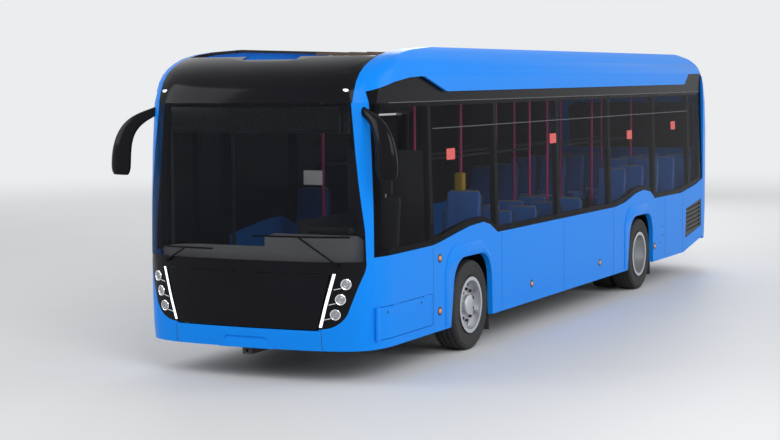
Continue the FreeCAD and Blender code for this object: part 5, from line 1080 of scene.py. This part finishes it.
# %% Fit out the cab
DISPLAY_HALF, DISPLAY_LOW_Z, DISPLAY_HIGH_Z = 0.92, 2.38, 2.62
DISPLAY_FRONT_Y, DISPLAY_BACK_Y, HOOD_BACK_Y = -5.78, -5.66, -5.60
HOOD_WIDER, HOOD_HIGHER, HOOD_ROUND = 0.04, 0.02, 0.012
CARD = (0.60, -5.872, 1.885), (0.80, -5.868, 2.020)
CLUSTER = (0.50, -5.62, 1.395), (0.94, -5.50, 1.465)
SCREEN = (0.545, -5.515, 1.400), (0.895, -5.496, 1.455)
finish("card_white", ((0.74, 0.75, 0.77), (0.80, 0.80, 0.82)), (0.5, 0.6))
finish("display_dark", ((0.004, 0.004, 0.005), (0.008, 0.008, 0.009)), (0.2, 0.3))
block("route_display", (-DISPLAY_HALF, DISPLAY_FRONT_Y, DISPLAY_LOW_Z),
      (DISPLAY_HALF, DISPLAY_BACK_Y, DISPLAY_HIGH_Z), "display_dark", bevel=HOOD_ROUND)
block("route_display_hood", (-DISPLAY_HALF - HOOD_WIDER, DISPLAY_BACK_Y, DISPLAY_LOW_Z - HOOD_HIGHER),
      (DISPLAY_HALF + HOOD_WIDER, HOOD_BACK_Y, DISPLAY_HIGH_Z + HOOD_HIGHER), "grey_moulding",
      bevel=HOOD_ROUND)
block("blank_card", *CARD, "card_white", bevel=0.001)
joined([block("cluster", *CLUSTER, "dark_plastic", bevel=0.02),
        block("screen", *SCREEN, "display_dark", bevel=0.006)], "dial_cluster")

# %% Fit out the saloon
POLE_X, DEVICE_YS, DEVICE_Z = 0.235, (-3.90, -1.30), 1.62
DEVICE_HALF, DEVICE_AHEAD, DEVICE_BEHIND, DEVICE_HALF_HEIGHT = 0.055, 0.075, 0.035, 0.14
LOW_RAILS = ((-3.85, -2.66), (-2.54, -1.36), (-1.24, 0.86))
LOW_RAIL_Z, SALOON_FLOOR_Z, LOW_RAIL_RADIUS = 1.06, 0.36, 0.016
CEILING_LAMP_X, CEILING_LAMP_HALF, CEILING_LAMP_START, CEILING_LAMP_END = 0.62, 0.09, -3.6, 5.2
CEILING_LAMP_LOW_Z, CEILING_LAMP_HIGH_Z = 2.845, 2.878
finish("device_yellow", ((0.75, 0.48, 0.012), (0.82, 0.54, 0.020)), (0.35, 0.5), 0.2, 250)
finish("lamp_diffuser", ((0.20, 0.205, 0.21), (0.26, 0.265, 0.27)), (0.4, 0.5), 0.2, 300)
for number, y in enumerate(DEVICE_YS):
    block("ticket_device_%d" % number, (POLE_X - DEVICE_HALF, y - DEVICE_AHEAD, DEVICE_Z - DEVICE_HALF_HEIGHT),
          (POLE_X + DEVICE_HALF, y + DEVICE_BEHIND, DEVICE_Z + DEVICE_HALF_HEIGHT), "device_yellow",
          bevel=0.02)
low_rails = []
for start, end in LOW_RAILS:
    middle = (start + end) / 2
    low_rails.append(rod("low_rail", (POLE_X, start, LOW_RAIL_Z), (POLE_X, end, LOW_RAIL_Z), LOW_RAIL_RADIUS,
                         "rail_magenta"))
    low_rails.append(rod("low_post", (POLE_X, middle, SALOON_FLOOR_Z), (POLE_X, middle, LOW_RAIL_Z),
                         LOW_RAIL_RADIUS, "rail_magenta"))
joined(low_rails, "low_rails")
for side, sign in SIDES:
    x = sign * CEILING_LAMP_X
    block("ceiling_lamp_" + side, (x - CEILING_LAMP_HALF, CEILING_LAMP_START, CEILING_LAMP_LOW_Z),
          (x + CEILING_LAMP_HALF, CEILING_LAMP_END, CEILING_LAMP_HIGH_Z), "lamp_diffuser", bevel=0.012)
print("inside fitted")

# %% [markdown]
# The bumper's step, the flap's jamb and the rear
#
# The step in the bumper's foot is closed by a set-back panel in the body's colour, and a jamb stands behind
# the front edge of the service flap. Behind, the round lamps get silver rings, and a blank plate marks the
# place of the number plate. Mud flaps of rubber hang behind the wheels.

# %% Close the bumper
STEP_PLACE, STEP_SIZE, STEP_TOP_SHARE = (0, -5.958, 0.374), (0.60, 0.012, 0.116), 0.74
JAMB = (1.236, -5.662, 0.405), (1.262, -5.611, 0.722)
bpy.ops.mesh.primitive_cube_add(size=1, location=STEP_PLACE)
step = bpy.context.object
step.scale = STEP_SIZE
alone(step)
place_into_mesh()
for vertex in step.data.vertices:
    if vertex.co.z > STEP_PLACE[2]:
        vertex.co.x *= STEP_TOP_SHARE
settle(step, "bumper_step", "sky_blue_paint", bevel=0.004)
block("flap_jamb", *JAMB, "sky_blue_paint", bevel=0.002)

# %% Finish the rear
TAIL_LAMP_X, TAIL_LAMP_LEVELS, TAIL_RING_RADIUS = 1.105, (0.90, 1.03, 1.16), 0.049
PLATE = (-0.26, 6.000, 1.12), (0.26, 6.005, 1.24)
FLAP_INNER_X, FLAP_OUTER_X, FLAP_LOW_Z, FLAP_HIGH_Z, FLAP_THICKNESS = 0.94, 1.21, 0.14, 0.55, 0.008
finish("plate_blank", ((0.55, 0.56, 0.57), (0.62, 0.63, 0.64)), (0.35, 0.45), 0.1, 300)
tail_rings = []
for x in (-TAIL_LAMP_X, TAIL_LAMP_X):
    for z in TAIL_LAMP_LEVELS:
        seat, normal = skin_at(("tail_lamps",), (x, BEHIND_Y, z), (0, -1, 0))
        tail_rings.append(bead("ring", seat, normal, TAIL_RING_RADIUS, RING_WIRE, "chrome"))
joined(tail_rings, "tail_lamp_rings")
block("number_plate_place", *PLATE, "plate_blank", body_of(nodes["rear_lid"])[0], 0.002)
for place, y in (("front", FRONT_AXLE_Y + 0.545), ("rear", REAR_AXLE_Y + 0.555)):
    flap = block(place + "_left_mud_flap", (FLAP_INNER_X, y, FLAP_LOW_Z),
                 (FLAP_OUTER_X, y + FLAP_THICKNESS, FLAP_HIGH_Z), "seal_rubber")
    mirrored_copy(flap, place + "_right_mud_flap")
print("rear done")
